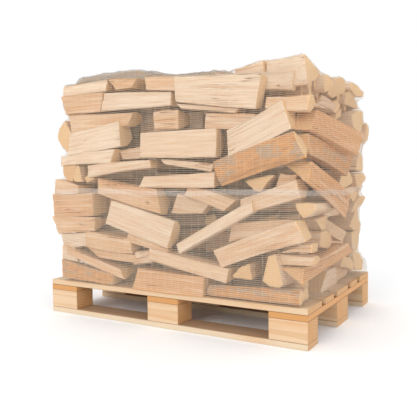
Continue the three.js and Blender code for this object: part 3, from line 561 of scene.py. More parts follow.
# %% Smaller logs of the front
SMALL_FRONT_LOGS = [
    side_on("front", "slab", [(100, 854), (325, 821), (339, 834), (82, 868)], 70, -8),
    side_on("front", "round", [(194, 774), (382, 758), (400, 812), (200, 826)], 80, -20),
    end_on("front", [(-500, 838), (-536, 805), (-545, 760), (-524, 732), (-484, 702), (-468, 780)], -6),
    side_on("front", "slab", [(20, 645), (225, 613), (235, 640), (0, 662)], 70, -10),
    end_on("front", [(545, 500), (612, 499), (615, 477), (573, 450), (550, 477)], -30, 300),
    side_on("front", "five", [(-178, 336), (10, 297), (34, 305), (-166, 373)], 62, -6),
    side_on("front", "slab", [(-535, 290), (-398, 303), (-398, 363), (-545, 350)], 90, -10),
    end_on("front", [(314, 237), (319, 228), (392, 228), (381, 283), (352, 273)]),
    end_on("front", [(437, 228), (461, 211), (497, 208), (509, 222), (480, 321), (459, 313)], 0, 300),
    end_on("front", [(-524, 652), (-446, 652), (-474, 578), (-508, 588), (-524, 617)], -12),
    end_on("front", [(-461, 603), (-434, 646), (-427, 640), (-413, 580), (-458, 582)], -6),
    side_on("front", "low", [(-219, 671), (-126, 671), (-119, 717), (-230, 704)], 80, -40),
    end_on("front", [(-414, 598), (-396, 571), (-354, 592), (-373, 613)], -20),
    side_on("front", "low", [(-330, 256), (-113, 246), (-150, 281), (-394, 298)], 72, -12),
    side_on("front", "five", [(-540, 241), (-450, 233), (-470, 288), (-535, 297)], 80, -8),
    side_on("front", "wedge", [(282, 352), (462, 392), (535, 440), (290, 420)], 70, -40),
    end_on("front", [(350, 578), (392, 545), (412, 540), (460, 598)], -34),
    side_on("front", "slab", [(462, 540), (530, 552), (545, 598), (480, 604)], 70, -46),
    side_on("front", "five", [(20, 452), (160, 455), (195, 492), (50, 530)], 70, -46),
    side_on("front", "five", [(440, 828), (590, 812), (603, 863), (445, 868)], 74, -14),
    side_on("front", "slab", [(500, 330), (606, 334), (606, 364), (556, 352)], 66, -20),
    side_on("front", "five", [(490, 287), (606, 291), (612, 316), (490, 318)], 66, -28),
    side_on("front", "slab", [(-150, 240), (-58, 258), (-58, 298), (-142, 289)], 66, -18),
]

# %% Smaller logs of the right side
SMALL_RIGHT_LOGS = [
    end_on("right", [(-196, 893), (-200, 955), (-159, 959), (-98, 940), (-124, 917)], 30),
    end_on("right", [(-112, 903), (-88, 942), (-24, 961), (78, 988), (118, 968), (89, 928), (-52, 893)], 15),
    end_on("right", [(180, 958), (181, 979), (277, 982), (392, 966), (388, 950), (266, 938)], 16),
    end_on("right", [(120, 888), (158, 930), (201, 948), (255, 946), (350, 889)], 5),
    end_on("right", [(124, 838), (242, 868), (322, 872), (330, 826), (274, 776), (150, 793)], 34),
    end_on("right", [(292, 756), (344, 820), (384, 800), (356, 752), (269, 729)], 46),
    side_on("right", "slab", [(35, 706), (262, 694), (262, 768), (40, 790)], 84, -8),
    side_on("right", "five", [(-226, 842), (-14, 846), (28, 872), (-150, 889)], 78, 2),
    end_on("right", [(36, 848), (86, 846), (112, 880), (60, 898), (20, 886)], -8),
    end_on("right", [(52, 822), (118, 838), (124, 870), (60, 840)], -6),
    end_on("right", [(200, 616), (248, 690), (300, 670), (310, 612)], 36),
    side_on("right", "five", [(38, 620), (190, 612), (190, 680), (40, 690)], 84, -10),
    end_on("right", [(-23, 598), (71, 616), (150, 580), (145, 558), (34, 543), (-56, 552)], 38),
    end_on("right", [(156, 596), (312, 600), (370, 579), (298, 556), (262, 527), (198, 547)], 38),
    end_on("right", [(110, 538), (250, 544), (286, 507), (284, 478), (212, 477)], 20),
    end_on("right", [(290, 500), (372, 490), (300, 464), (150, 432), (204, 470)], 32),
    side_on("right", "wedge", [(-56, 420), (140, 424), (196, 466), (-50, 536)], 78, -20),
    end_on("right", [(155, 376), (249, 422), (339, 367), (313, 348), (226, 355)], 20),
    end_on("right", [(232, 344), (372, 341), (356, 285), (337, 250), (268, 259)], 6),
    end_on("right", [(-262, 344), (-253, 386), (-201, 390), (-142, 376), (-110, 341), (-156, 320)], 34),
    end_on("right", [(-296, 436), (-245, 443), (-156, 442), (-186, 398), (-222, 396)], 30),
    side_on("right", "slab", [(-132, 384), (-70, 338), (-18, 372), (-150, 440)], 74, 34, 50),
    side_on("right", "slab", [(0, 300), (220, 268), (220, 340), (-10, 372)], 80, -26),
    end_on("right", [(8, 228), (48, 257), (144, 247), (190, 208), (172, 186), (60, 222)], 30),
    end_on("right", [(200, 268), (300, 244), (372, 196), (360, 156), (250, 176)], 22),
    side_on("right", "low", [(70, 150), (240, 156), (240, 196), (74, 212)], 80, -12),
    end_on("right", [(-330, 150), (-266, 149), (-263, 190), (-302, 192)], -8, 120),
]

# %% [markdown]
# ## Logs laid by rule
#
# The picture shows nothing of the back, the left side, the top and the inside. Logs could be scattered
# there by a physics run, but that takes minutes and can end in any pose. Here they lie in courses like
# bricks whose joints wave, so each log tilts a little and still lies close to its neighbours. A small dice
# of its own gives every size, so the layout is the same each time and the same as in the solids.

# %% A dice and the shapes of ends
SECTION_NAMES = ["slab", "wedge", "five", "low", "round", "slab", "bark", "five"]
END_SHAPES = [
    [(0, 0), (1, 0), (0.96, 0.62), (0.55, 1), (0.06, 0.7)],
    [(0, 0.05), (0.9, 0), (1, 0.9), (0.2, 1)],
    [(0.02, 0), (1, 0.04), (0.86, 0.6), (0.5, 0.98), (0.2, 0.62)],
    [(0, 0.35), (0.3, 0.03), (0.72, 0), (1, 0.4), (0.82, 0.97), (0.2, 1)],
]


def dice(seed):
    """A repeatable dice: each call gives the next number between 0 and 1."""
    state = seed

    def roll():
        nonlocal state
        state = (state * 16807) % 2147483647
        return state / 2147483647

    return roll


def end_outline(corners, pick, flip):
    """One of the end shapes, stretched between four corners."""
    bottom_left, bottom_right, top_right, top_left = (np.array(c) for c in corners)
    outline = []
    for u, v in END_SHAPES[int(pick * len(END_SHAPES))]:
        across = 1 - u if flip else u
        low = bottom_left + (bottom_right - bottom_left) * across
        high = top_left + (top_right - top_left) * across
        outline.append(tuple(low + (high - low) * v))
    return outline

# %% Courses
LEAST_STRETCH, END_STRETCH = 55, 210
LONG_WAVE, SHORT_WAVE = 15, 9


def lay_courses(side, seed, start, end, bottom, top, swell, height=COURSE_HEIGHT, ends=0.25, back=0):
    """Courses of logs over a stretch of one side, with `ends` the share of logs that show an end."""
    roll = dice(seed)
    courses = round((top - bottom) / height)
    phase = roll() * 6

    def joint(course, s):
        level = bottom + ((top - bottom) * course) / courses
        held = 0.15 if course in (0, courses) else 1
        wave = LONG_WAVE * math.sin(s / 95 + 2.3 * course + phase)
        wave += SHORT_WAVE * math.sin(s / 41 + 4.1 * course)
        return level + held * wave

    logs = []
    for course in range(courses):
        s = start + roll() * 24
        while end - s > LEAST_STRETCH:
            left = end - s
            as_end = left < END_STRETCH or roll() < ends
            width = 72 + roll() * 38 if as_end else min(LOG_LENGTH - roll() * 22, left)
            right = min(s + width, end + 6)
            middle = (s + right) / 2
            level = (joint(course, middle) + joint(course + 1, middle)) / 2
            proud = swell(middle, level) - back - roll() * 22

            def low(at):
                return joint(course, at) + JOINT / 2 + roll() * 3

            def high(at):
                return joint(course + 1, at) - JOINT / 2 - roll() * 5

            corners = [
                (s + roll() * 6, low(s)),
                (right - JOINT - roll() * 8, low(right)),
                (right - JOINT - roll() * 8, high(right)),
                (s + roll() * 6, high(s)),
            ]
            pick = roll()
            depth = 74 + roll() * 22
            turn = (roll() - 0.5) * 22
            if as_end and ends > 0:
                logs.append(end_on(side, end_outline(corners, pick, roll() < 0.5), proud))
            else:
                section = SECTION_NAMES[int(pick * len(SECTION_NAMES))]
                logs.append(side_on(side, section, corners, depth, proud, turn))
            s = right
    return logs

# %% Logs of the hidden sides
def left_swell(s, z):
    return -20 + 62 * math.exp(-(((z - 470) / 170) ** 2)) - (22 if z > 880 else 0)


def back_swell(s, z):
    return -10 + 14 * math.exp(-(((z - 520) / 260) ** 2))


def bump(x, y, centre_x, centre_y, wide):
    return math.exp(-(((x - centre_x) / wide) ** 2) - ((y - centre_y) / 290) ** 2)


def top_swell(x, y):
    return -6 + 70 * bump(x, y, -310, -170, 300) + 32 * bump(x, y, 70, -20, 200)


def no_swell(s, t):
    return 0


left_logs = lay_courses("left", 4177, -306, 306, 146, 968, left_swell, ends=0.34)
back_logs = lay_courses("back", 9341, -562, 540, 146, 976, back_swell, ends=0.22)
top_logs = lay_courses("top", 2503, -500, 560, -312, 320, top_swell, height=88, ends=0)
inner_logs = (
    lay_courses("front", 611, -500, 540, 146, 930, no_swell, back=98)
    + lay_courses("right", 1213, -306, 306, 146, 930, no_swell, back=98)
    + lay_courses("back", 3307, -520, 520, 146, 930, no_swell, back=104)
    + lay_courses("left", 7919, -306, 306, 146, 930, no_swell, back=104)
    + lay_courses("top", 5501, -440, 470, -300, 300, no_swell, height=88, ends=0, back=98)
    + lay_courses("front", 4021, -420, 440, 146, 900, no_swell, back=190)
    + lay_courses("right", 6007, -220, 220, 146, 900, no_swell, back=190)
)
by_rule = {"left": left_logs, "back": back_logs, "top": top_logs, "inside": inner_logs}
print("logs by rule:", {side: len(logs) for side, logs in by_rule.items()})

# %% [markdown]
# ## Smooth random surfaces
#
# Split wood is rough in a special way: it tears along its fibres, so the roughness is long in one
# direction and short in the other two. Blender's noise texture could push the surface out with a Displace
# modifier, but one modifier per log would be slow for four hundred logs. This small noise works on all
# points of a log at once with numpy. A stretch of its coordinates makes the fibres.

# %% Noise on points
LATTICE_SIZE = 4096
LATTICE = np.random.RandomState(20).permutation(LATTICE_SIZE)
LATTICE_VALUES = np.random.RandomState(21).uniform(-1, 1, LATTICE_SIZE)
LATTICE_STEPS = (73, 179, 283)
SEED_STEP = 131


def noise(points, seed=0):
    """A smooth random value between -1 and 1 for each point, with bumps about one unit wide."""
    base = np.floor(points).astype(np.int64)
    part = points - base
    part = part * part * (3 - 2 * part)
    total = np.zeros(len(points))
    for corner in range(8):
        step = np.array([corner & 1, (corner >> 1) & 1, corner >> 2])
        cell = base + step
        mixed = seed * SEED_STEP
        for axis, stride in enumerate(LATTICE_STEPS):
            mixed = LATTICE[(mixed + cell[:, axis] * stride) % LATTICE_SIZE]
        weight = np.prod(np.where(step == 1, part, 1 - part), axis=1)
        total += weight * LATTICE_VALUES[mixed]
    return total

# %% [markdown]
# ## One split log
#
# A log is a piece of trunk about a third of a metre long, sawn at both ends and split along its length.
# Its form runs between two end sections, so the mesh is a tube of rings from one to the other, closed with
# rings that shrink to the middle of each end. Points stand close together beside each edge, so the edge
# stays crisp under smooth shading. Then the split faces are pushed in and out by stretched noise, a ledge of
# torn fibres runs along the front face of about every second log, and the whole log is bowed a little. The
# sawn ends stay nearly flat.
#
# Every point also keeps where it is in the log itself, measured from the trunk's middle. The finish reads
# that, so its rings and fibres run along each log however it lies.

# %% The form of a log
PITH = {"slab": (0.5, 1.7), "wedge": (0.56, 1.3), "low": (0.34, 1.25), "five": (0.5, 1.6),
        "round": (0.12, 1.1), "bark": (0.56, 1.12), "dee": (0.5, 0.1), "corner": (0.95, 1.0)}
BARK_EDGES = {"bark": (0, 1, 2, 3), "round": (2, 3, 4, 5), "dee": (0,)}
EDGE_ROUND = 0.0030
END_ROUND = 0.0016


def unit(vector):
    return vector / np.linalg.norm(vector)


def log_directions(log, a, b):
    """Two directions across the log and the one along it."""
    axis = unit(b.mean(axis=0) - a.mean(axis=0))
    along_side, up_side, _ = SIDES[log["side"]]
    across_x = np.array(along_side if "outline" in log else up_side, float)
    across_x = unit(across_x - axis * (across_x @ axis))
    return across_x, np.cross(axis, across_x), axis


def ring_shares(corners_a, corners_b, spacing):
    """Where ring points sit: (edge number, share along that edge), close together beside each corner."""
    count = len(corners_a)
    shares = []
    for k in range(count):
        n = (k + 1) % count
        length_a = np.linalg.norm(corners_a[n] - corners_a[k])
        length = 0.5 * (length_a + np.linalg.norm(corners_b[n] - corners_b[k]))
        close = min(EDGE_ROUND / max(length, 1e-6), 0.2)
        inside = max(1, round(length / spacing) - 1)
        between = [close + (1 - 2 * close) * i / (inside + 1) for i in range(1, inside + 1)]
        shares += [(k, share) for share in (0.0, close, *between, 1 - close)]
    return shares


def end_rings_of(a, b, spacing, across_x, across_y):
    """The rings at both ends, the same ring seen flat, each point's edge and share, and its way out."""
    shares = ring_shares(a, b, spacing)
    edge = np.array([k for k, _ in shares])
    part = np.array([e for _, e in shares])[:, None]
    following = (edge + 1) % len(a)
    ring_a = a[edge] * (1 - part) + a[following] * part
    ring_b = b[edge] * (1 - part) + b[following] * part
    mean = (ring_a + ring_b) / 2
    mean = mean - mean.mean(axis=0)
    flat = np.stack([mean @ across_x, mean @ across_y], axis=1)
    turning = np.sum(flat[:, 0] * np.roll(flat[:, 1], -1) - flat[:, 1] * np.roll(flat[:, 0], -1))
    if turning < 0:
        ring_a, ring_b, flat, edge, part = (x[::-1] for x in (ring_a, ring_b, flat, edge, part))
    tangent = np.roll(flat, -1, axis=0) - np.roll(flat, 1, axis=0)
    out = np.stack([tangent[:, 1], -tangent[:, 0]], axis=1)
    out /= np.maximum(np.linalg.norm(out, axis=1, keepdims=True), 1e-9)
    return ring_a, ring_b, flat, edge, part, out[:, :1] * across_x + out[:, 1:] * across_y

# %% Torn faces and sawn ends
# Bumps per metre twice across the log and along it.
BROAD_BUMPS, TORN_BUMPS, FINE_BUMPS = (16, 16, 3.2), (75, 75, 6.5), (170, 170, 16)
END_BUMPS = (120, 120, 120)
LEDGE_CHANCE = 0.55
LEDGE_SOFT = 0.05
END_OUT, END_ROUGH, END_MIDDLE = 0.0007, 0.0004, 0.0008


def torn_push(own, slide, rough):
    """How far each point of the split faces is pushed out, in metres."""
    at = own.reshape(-1, 3)
    broad = noise(at * BROAD_BUMPS + slide, 1)
    torn = noise(at * TORN_BUMPS + slide, 2)
    fine = noise(at * FINE_BUMPS + slide, 3)
    push = (0.0016 + 0.0034 * broad + 0.0030 * torn * np.abs(torn) + 0.0007 * fine) * rough
    return push.reshape(own.shape[:2])


def ledge(own, part, slide, roll):
    """How deep each point of the front face lies below the fibres that tore off beside it."""
    ledge_at, ledge_high = 0.25 + roll() * 0.5, 0.0018 + roll() * 0.0018
    share = part[:, 0][None, :] * np.ones((len(own), 1))
    along = own[:, :, 2].ravel()
    wander = noise(np.stack([along * 9, slide + 0 * along, 0 * along], axis=1), 4)
    past = (share - ledge_at - 0.10 * wander.reshape(share.shape)) / LEDGE_SOFT
    cut = 1 / (1 + np.exp(-np.clip(past * 4, -30, 30)))
    return ledge_high * cut * np.clip((1 - share) / (1 - ledge_at), 0, 1)


def sawn_end(ring, out, shrinks):
    """Rings that shrink to the middle of a sawn end, and that middle. `out` points away from the log."""
    centre = ring.mean(axis=0)
    rings = []
    for shrink in shrinks:
        inner = centre + (ring - centre) * shrink
        rings.append(inner + out * (END_OUT + END_ROUGH * noise(inner * END_BUMPS, 5))[:, None])
    return rings, centre + out * END_MIDDLE


def tube_faces(rings, around):
    """Faces with four sides between the rings, and fans to the two middle points that come last."""
    row = np.arange(rings - 1)[:, None] * around
    j = np.arange(around)
    k = (j + 1) % around
    quads = np.stack([row + j, row + k, row + around + k, row + around + j], axis=2).reshape(-1, 4)
    first, last = rings * around, rings * around + 1
    end = (rings - 1) * around
    fans = np.concatenate([
        np.stack([k, j, np.full(around, first)], axis=1),
        np.stack([end + j, end + k, np.full(around, last)], axis=1),
    ])
    return quads, fans

# %% Log mesh
FIRST_SEED, SEEDS_APART = 1009, 7477
FINE = {"spacing": 0.0065, "step": 0.0085, "end_rings": (0.985, 0.8, 0.5, 0.22)}
BOW = 0.009
SAW_TILT = 0.10


def log_mesh(log, seed, spacing, step, end_rings, rough=1.0):
    """Points, faces and per-point values of one log. Points are in metres, in the frame."""
    roll = dice(FIRST_SEED + SEEDS_APART * seed)
    # The first numbers of seeds that are close are alike, so they are passed over.
    for _ in range(4):
        roll()
    a, b = log_ends(log)
    across_x, across_y, axis = log_directions(log, a, b)
    origin = (a.mean(axis=0) + b.mean(axis=0)) / 2
    length = np.linalg.norm(b.mean(axis=0) - a.mean(axis=0))
    ring_a, ring_b, flat, edge, part, out = end_rings_of(a, b, spacing, across_x, across_y)
    around = len(edge)

    def in_log(points):
        return np.stack([points @ across_x, points @ across_y, points @ axis], axis=-1)

    inset = min(END_ROUND / length, 0.1)
    between = np.linspace(0, 1, max(4, round(length / step)))[1:-1]
    stations = np.concatenate([[0.0, inset], between, [1 - inset, 1.0]])
    count = len(stations)
    f = stations[:, None, None]
    points = ring_a[None] * (1 - f) + ring_b[None] * f
    own = in_log(points - origin)
    slide = seed * 3.17 + roll() * 5
    push = torn_push(own, slide, rough)
    front = (edge == 0) & ("outline" not in log)
    if rough > 0.5 and front.any() and roll() < LEDGE_CHANCE:
        push = push - np.where(front[None, :], ledge(own, part, slide, roll), 0)
    points = points + out[None] * push[:, :, None]
    bow = (across_x * (roll() - 0.5) + across_y * (roll() - 0.5)) * BOW * rough
    points = points + bow[None, None] * (1 - (2 * f - 1) ** 2)
    for near_end in (np.where(f < 0.5, (1 - 2 * f) ** 6, 0), np.where(f > 0.5, (2 * f - 1) ** 6, 0)):
        tilt = [(roll() - 0.5) * SAW_TILT for _ in range(2)]
        lean = own[:, :, 0] * tilt[0] + own[:, :, 1] * tilt[1]
        points = points - axis[None, None] * (lean * rough)[:, :, None] * near_end

    first_cap, first_centre = sawn_end(points[0], -axis, end_rings)
    last_cap, last_centre = sawn_end(points[-1], axis, end_rings)
    tube = np.concatenate(first_cap[::-1] + list(points) + last_cap)
    all_points = np.concatenate([tube, [first_centre, last_centre]])
    quads, fans = tube_faces(2 * len(end_rings) + count, around)
    cap = around * len(end_rings)
    end_mask = np.concatenate([np.ones(cap), np.zeros(around * count), np.ones(cap + 2)])
    on_bark = np.isin(np.tile(edge, 2 * len(end_rings) + count), BARK_EDGES.get(log.get("section"), ()))
    bark = np.concatenate([on_bark, [False, False]]) * (1 - end_mask)

    low, high = flat.min(axis=0), flat.max(axis=0)
    if "outline" in log:
        pith = (high[0] * (1.2 + roll()), low[1] * (0.4 + roll() * 1.4), -slide)
    else:
        u, v = PITH[log["section"]]
        pith = (low[0] + (high[0] - low[0]) * u, low[1] * v * 1.2, -slide)
    return {"points": all_points, "quads": quads, "fans": fans, "wood": in_log(all_points - origin) - pith,
            "end": end_mask, "bark": bark, "tone": roll(), "warm": roll()}


sample = log_mesh(FRONT_LOGS[3], 4, **FINE)
print("one log:", len(sample["points"]), "points and", len(sample["quads"]) + len(sample["fans"]), "faces")

# %% [markdown]
# ## From arrays to a piece
#
# Wood deep in the gaps of the stack gets painted shade, darker than the lamps alone leave it. Each point
# stores how far it lies behind the outer faces of the load for that.
#
# A single log and a whole joined side are made by the same helper. It writes the arrays straight into the
# mesh, which is many times quicker than adding faces one by one, and it stores the log's own place and its
# colour choices as attributes.

# %% Piece of logs
# Painted shade in the gaps grows from the first depth to the second, in metres behind the outer faces.
GAP_FROM, GAP_TO = 0.078, 0.118


def painted_gap_shade(points):
    """How much painted shade each point gets: 0 near the outside of the load and 1 deep in its gaps."""
    x, y, z = points.T
    reach = {side: far / 1000 for side, far in REACH.items()}
    depth = np.minimum.reduce([reach["right"] - x, x + reach["left"], y + reach["front"], reach["back"] - y,
                               reach["top"] - z])
    return np.clip((depth - GAP_FROM) / (GAP_TO - GAP_FROM), 0, 1)


def store(mesh, name, kind, values):
    """Keeps a value for each point of a mesh under a name, for the finish to read."""
    field = "vector" if kind == "FLOAT_VECTOR" else "value"
    attribute = mesh.attributes.new(name, kind, "POINT")
    attribute.data.foreach_set(field, values.astype(np.float32).ravel())


def dress(piece, node):
    """Makes a piece move with the part and hides the solid that it replaces."""
    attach(piece, "root")
    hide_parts(node)


def piece_of_logs(name, meshes, looks):
    """One mesh object from one or many log meshes. Each look is (tone, warm, bark share)."""
    points = np.concatenate([m["points"] for m in meshes])
    starts = np.cumsum([0] + [len(m["points"]) for m in meshes[:-1]])
    quads = np.concatenate([m["quads"] + s for m, s in zip(meshes, starts)])
    fans = np.concatenate([m["fans"] + s for m, s in zip(meshes, starts)])
    corners = np.concatenate([quads.ravel(), fans.ravel()]).astype(np.int32)
    sizes = np.concatenate([np.full(len(quads), 4), np.full(len(fans), 3)])
    mesh = bpy.data.meshes.new(name)
    mesh.vertices.add(len(points))
    mesh.vertices.foreach_set("co", points.astype(np.float32).ravel())
    mesh.loops.add(len(corners))
    mesh.loops.foreach_set("vertex_index", corners)
    mesh.polygons.add(len(sizes))
    mesh.polygons.foreach_set("loop_start", np.concatenate([[0], np.cumsum(sizes)[:-1]]).astype(np.int32))
    mesh.update(calc_edges=True)
    mesh.validate()
    mesh.polygons.foreach_set("use_smooth", np.ones(len(sizes), bool))
    look = np.concatenate([
        np.stack([tone + 0 * m["bark"], warm + 0 * m["bark"], m["bark"] * share], axis=1)
        for m, (tone, warm, share) in zip(meshes, looks)
    ])
    store(mesh, "wood", "FLOAT_VECTOR", np.concatenate([m["wood"] for m in meshes]))
    store(mesh, "look", "FLOAT_VECTOR", look)
    store(mesh, "sawn_end", "FLOAT", np.concatenate([m["end"] for m in meshes]))
    # How much painted shade each point gets, deep in the gaps of the stack.
    store(mesh, "deep", "FLOAT", painted_gap_shade(points))
    mesh.materials.append(log_finish)
    return new_object(name, mesh)

# %% [markdown]
# ## Split wood, sawn ends and bark
#
# One finish serves every log, because the differences between logs are stored on the meshes. It is a solid
# pattern again: growth rings around the trunk's middle, read from the log's own place. Split faces get long
# pale fibres with a warm streak here and there. Sawn ends are tan, since end grain drinks the light.
# Bark is inner bark, orange-tan, with grey-beige patches where the outer bark still sticks.

# %% Colours and grain of the logs
SPLIT_LIGHT = linear(240, 223, 202)
SPLIT_PALE = linear(229, 208, 183)
SPLIT_MID = linear(212, 164, 116)
SPLIT_WARM = linear(203, 146, 96)
SPLIT_DARK = linear(150, 100, 62)
END_TAN = linear(234, 198, 150)
END_DARK = linear(210, 164, 116)
BARK_ORANGE = linear(208, 152, 98)
BARK_BROWN = linear(180, 126, 80)
BARK_GREY = linear(176, 158, 136)
# Painted shade for wood deep in the gaps of the stack, and how strongly it is mixed in.
PAINTED_GAP_SHADE = linear(80, 68, 64)
GAP_SHADE = 0.66
LOG_RING, LOG_WANDER = 0.0034, 0.016
LOG_RELIEF = 0.0016
# Bumps per metre twice across the log and along it.
WANDER, CLOUD, FIBRE, STRAND = (14, 14, 2.4), (22, 22, 4.5), (330, 330, 9), (110, 110, 4.0)
CRACKS, CRACK_PLACES, LOG_KNOTS = (48, 48, 2.2), (9, 9, 3.5), (10, 10, 5.5)
PORES, FLAKES, SKIN, SPECKLE = (520, 520, 20), (30, 30, 11), (130, 130, 24), (420, 420, 300)


def split_face(f, wood, tone, warm, late, fibre, strand, crack):
    """A torn face: pale, with warm clouds and strands, dark fibres, cracks and a few knots."""
    cloud = f.ramp(f.grain(wood, CLOUD), 0.40, 0.75)
    face = f.tint(tone, 0.75, SPLIT_PALE, SPLIT_MID)
    face = f.tint(late, 0.16, face, SPLIT_WARM)
    face = f.tint(cloud, f.times(warm, 0.75), face, SPLIT_WARM)
    face = f.tint(f.ramp(strand, 0.48, 0.72), 0.55, face, SPLIT_WARM)
    face = f.mix(f.math("SUBTRACT", tone, 1.0, clamp=True), face, SPLIT_WARM)
    face = f.tint(f.ramp(strand, 0.50, 0.34), 0.35, face, SPLIT_LIGHT)
    face = f.tint(f.ramp(fibre, 0.56, 0.80), 0.38, face, SPLIT_DARK)
    face = f.tint(crack, 0.85, face, SPLIT_DARK)
    return f.tint(knot_mask(f, wood, LOG_KNOTS, 0.10, 0.05, 0.80), 0.7, face, SPLIT_DARK)


def sawn_face(f, wood, tone, late):
    """A sawn end: tan, with its rings and the dark pores of end grain."""
    cut = f.tint(tone, 0.6, END_TAN, END_DARK)
    cut = f.tint(late, 0.4, cut, END_DARK)
    return f.tint(f.ramp(f.grain(wood, PORES, 2.0), 0.5, 0.75), 0.35, cut, SPLIT_DARK)


def bark_face(f, wood, outer):
    """Inner bark, with speckled scales of outer bark where `outer` is 1."""
    skin = f.mix(f.ramp(f.grain(wood, SKIN), 0.35, 0.75), BARK_ORANGE, BARK_BROWN)
    scales = f.mix(f.ramp(f.grain(wood, SPECKLE, 2.0), 0.42, 0.66), BARK_GREY, BARK_BROWN)
    return f.mix(outer, skin, scales)

# %% Log finish
def split_wood(name):
    f = Finish(name)

    def kept(label, output="Fac"):
        return f.add("ShaderNodeAttribute", attribute_name=label).outputs[output]

    wood = kept("wood", "Vector")
    tone, warm, bark = f.split(kept("look", "Vector"))
    x, y, _ = f.split(wood)
    wander = f.times(f.grain(wood, WANDER, 2.0), LOG_WANDER)
    late = f.ramp(growth_rings(f, x, y, wander, LOG_RING), 0.3, 0.95)
    fibre = f.grain(wood, FIBRE, 3.0, 0.6)
    strand = f.grain(wood, STRAND, 4.0, 0.62, 0.4)
    split_line = f.math("ABSOLUTE", f.minus(f.grain(wood, CRACKS, 1.0, shift=(3, 7, 1)), 0.5))
    rare = f.ramp(f.grain(wood, CRACK_PLACES, 1.0, shift=(5, 1, 9)), 0.54, 0.62)
    crack = f.times(f.ramp(split_line, 0.022, 0.0), rare)
    outer = f.ramp(f.grain(wood, FLAKES, 4.0, 0.62), 0.50, 0.58)

    face = split_face(f, wood, tone, warm, late, fibre, strand, crack)
    color = f.mix(kept("sawn_end"), face, sawn_face(f, wood, tone, late))
    color = f.mix(bark, color, bark_face(f, wood, outer))
    # Painted shade: wood deep in the gaps of the stack is darkened.
    color = f.tint(kept("deep"), GAP_SHADE, color, PAINTED_GAP_SHADE)
    height = f.plus(f.times(fibre, 0.6), f.times(strand, 0.8))
    height = f.minus(height, f.times(crack, 1.4))
    height = f.plus(height, f.times(f.times(bark, outer), 0.9))
    return f.finish(color, f.plus(f.times(fibre, 0.2), 0.66), f.bump(height, 0.6, LOG_RELIEF))


log_finish = split_wood("split_wood_finish")
print("log finish nodes:", len(log_finish.node_tree.nodes))

# %% [markdown]
# ## The logs that show most
#
# Each of these replaces one solid. In the picture some faces are nearly white and others are tan or orange.
# The dice could choose, but then a pale log would lie where a dark one should, so the tone of each is set
# here one by one. Three logs show their bark on the front, and one on the right shows some.

# %% Named logs
# (tone, warm): 0 is pale and 1 is tan, and past 1 the face turns orange.
# The logs of the right side have tones past 1: partly a darker wood of their own, partly painted shade for
# that side of the load, which faces away from the key light.
LOOKS = {
    "log_front_01": (0.15, 0.1), "log_front_02": (0.9, 0.6), "log_front_03": (0.9, 1.0),
    "log_front_04": (0.0, 0.25), "log_front_05": (0.8, 0.3), "log_front_06": (0.1, 0.1),
    "log_front_07": (0.1, 0.2), "log_front_08": (0.1, 0.3), "log_front_09": (0.2, 0.2),
    "log_front_10": (0.8, 1.0), "log_front_11": (0.0, 0.1), "log_front_13": (0.35, 0.1),
    "log_front_14": (0.1, 0.1), "log_front_16": (0.1, 0.1), "log_front_17": (0.3, 0.3),
    "log_front_18": (0.3, 0.3), "log_front_19": (0.8, 1.0), "log_front_20": (0.7, 0.3),
    "log_front_21": (1.0, 1.0), "log_front_22": (1.0, 0.9), "log_front_23": (0.0, 0.15),
    "log_front_24": (0.8, 0.3), "log_front_25": (0.1, 0.0), "log_front_26": (0.5, 0.8),
    "log_front_27": (0.4, 0.7), "log_front_28": (0.9, 0.4), "log_front_29": (0.8, 0.4),
    "log_front_31": (1.2, 1.0), "log_front_33": (0.5, 0.2), "log_right_01": (1.7, 1.0),
    "log_right_02": (1.8, 1.0), "log_right_03": (1.7, 0.8), "log_right_04": (1.6, 0.6),
}
BARK_LOGS = {"log_front_15": 1.0, "log_front_30": 1.0, "log_front_32": 1.0, "log_right_02": 0.6}


def look_of(name, mesh):
    tone, warm = LOOKS.get(name, (mesh["tone"], mesh["warm"]))
    return tone, warm, BARK_LOGS.get(name, 0.0)


named = [(f"log_front_{i + 1:02d}", log) for i, log in enumerate(FRONT_LOGS)]
named += [(f"log_right_{i + 1:02d}", log) for i, log in enumerate(RIGHT_LOGS)]
load_pieces = []
for number, (name, log) in enumerate(named):
    mesh = log_mesh(log, number, **FINE)
    piece = piece_of_logs(name.replace("log", "split_log"), [mesh], [look_of(name, mesh)])
    dress(piece, name)
    load_pieces.append(piece)
print("named logs:", len(load_pieces))

# %% [markdown]
# ## The other logs
#
# These stand for the one solid that holds all further logs. Each side is one joined mesh of separate closed
# logs. The back, the left and the top are coarser than the front, and the logs that only show through gaps
# are coarser still, because nobody sees their fibres.

# %% Joined sides
MEDIUM = {**FINE, "spacing": 0.008, "step": 0.011}
COARSE = {"spacing": 0.011, "step": 0.018, "end_rings": (0.98, 0.5)}
HIDDEN = {"spacing": 0.030, "step": 0.08, "end_rings": (0.96,), "rough": 0.5}
JOINED = {
    "small_logs_front": (SMALL_FRONT_LOGS, 100, 1.0, MEDIUM),
    "small_logs_right": (SMALL_RIGHT_LOGS, 150, 1.0, MEDIUM),
    "logs_left": (left_logs, 200, 1.0, COARSE),
    "logs_back": (back_logs, 300, 1.0, COARSE),
    "logs_top": (top_logs, 400, 0.3, COARSE),
    "logs_inside": (inner_logs, 500, 1.0, HIDDEN),
}

for name, (logs, first_seed, bark, detail) in JOINED.items():
    meshes = [log_mesh(log, first_seed + i, **detail) for i, log in enumerate(logs)]
    piece = piece_of_logs(name, meshes, [(m["tone"], m["warm"], bark) for m in meshes])
    dress(piece, "stacked_logs")
    load_pieces.append(piece)
    print(name, len(logs), "logs", sum(2 * len(m["quads"]) + len(m["fans"]) for m in meshes), "triangles")

# %% [markdown]
# ## How the net lies
#
# The net is pulled tight around the load, so it touches only the logs that stand out and spans the hollows
# between them. A cloth simulation of a fine net over two hundred logs would take many minutes. The same
# result comes from a simpler rule. Every knot of the net may only slide in and out along its own line, the
# tension draws it towards the middle of its four neighbours, and the logs stop it. Repeating that a few
# hundred times for all knots at once is quick with numpy. The pull is stronger along the threads that run
# round the load than up and down, as the real net was wound round it. Over the top it lies slack.

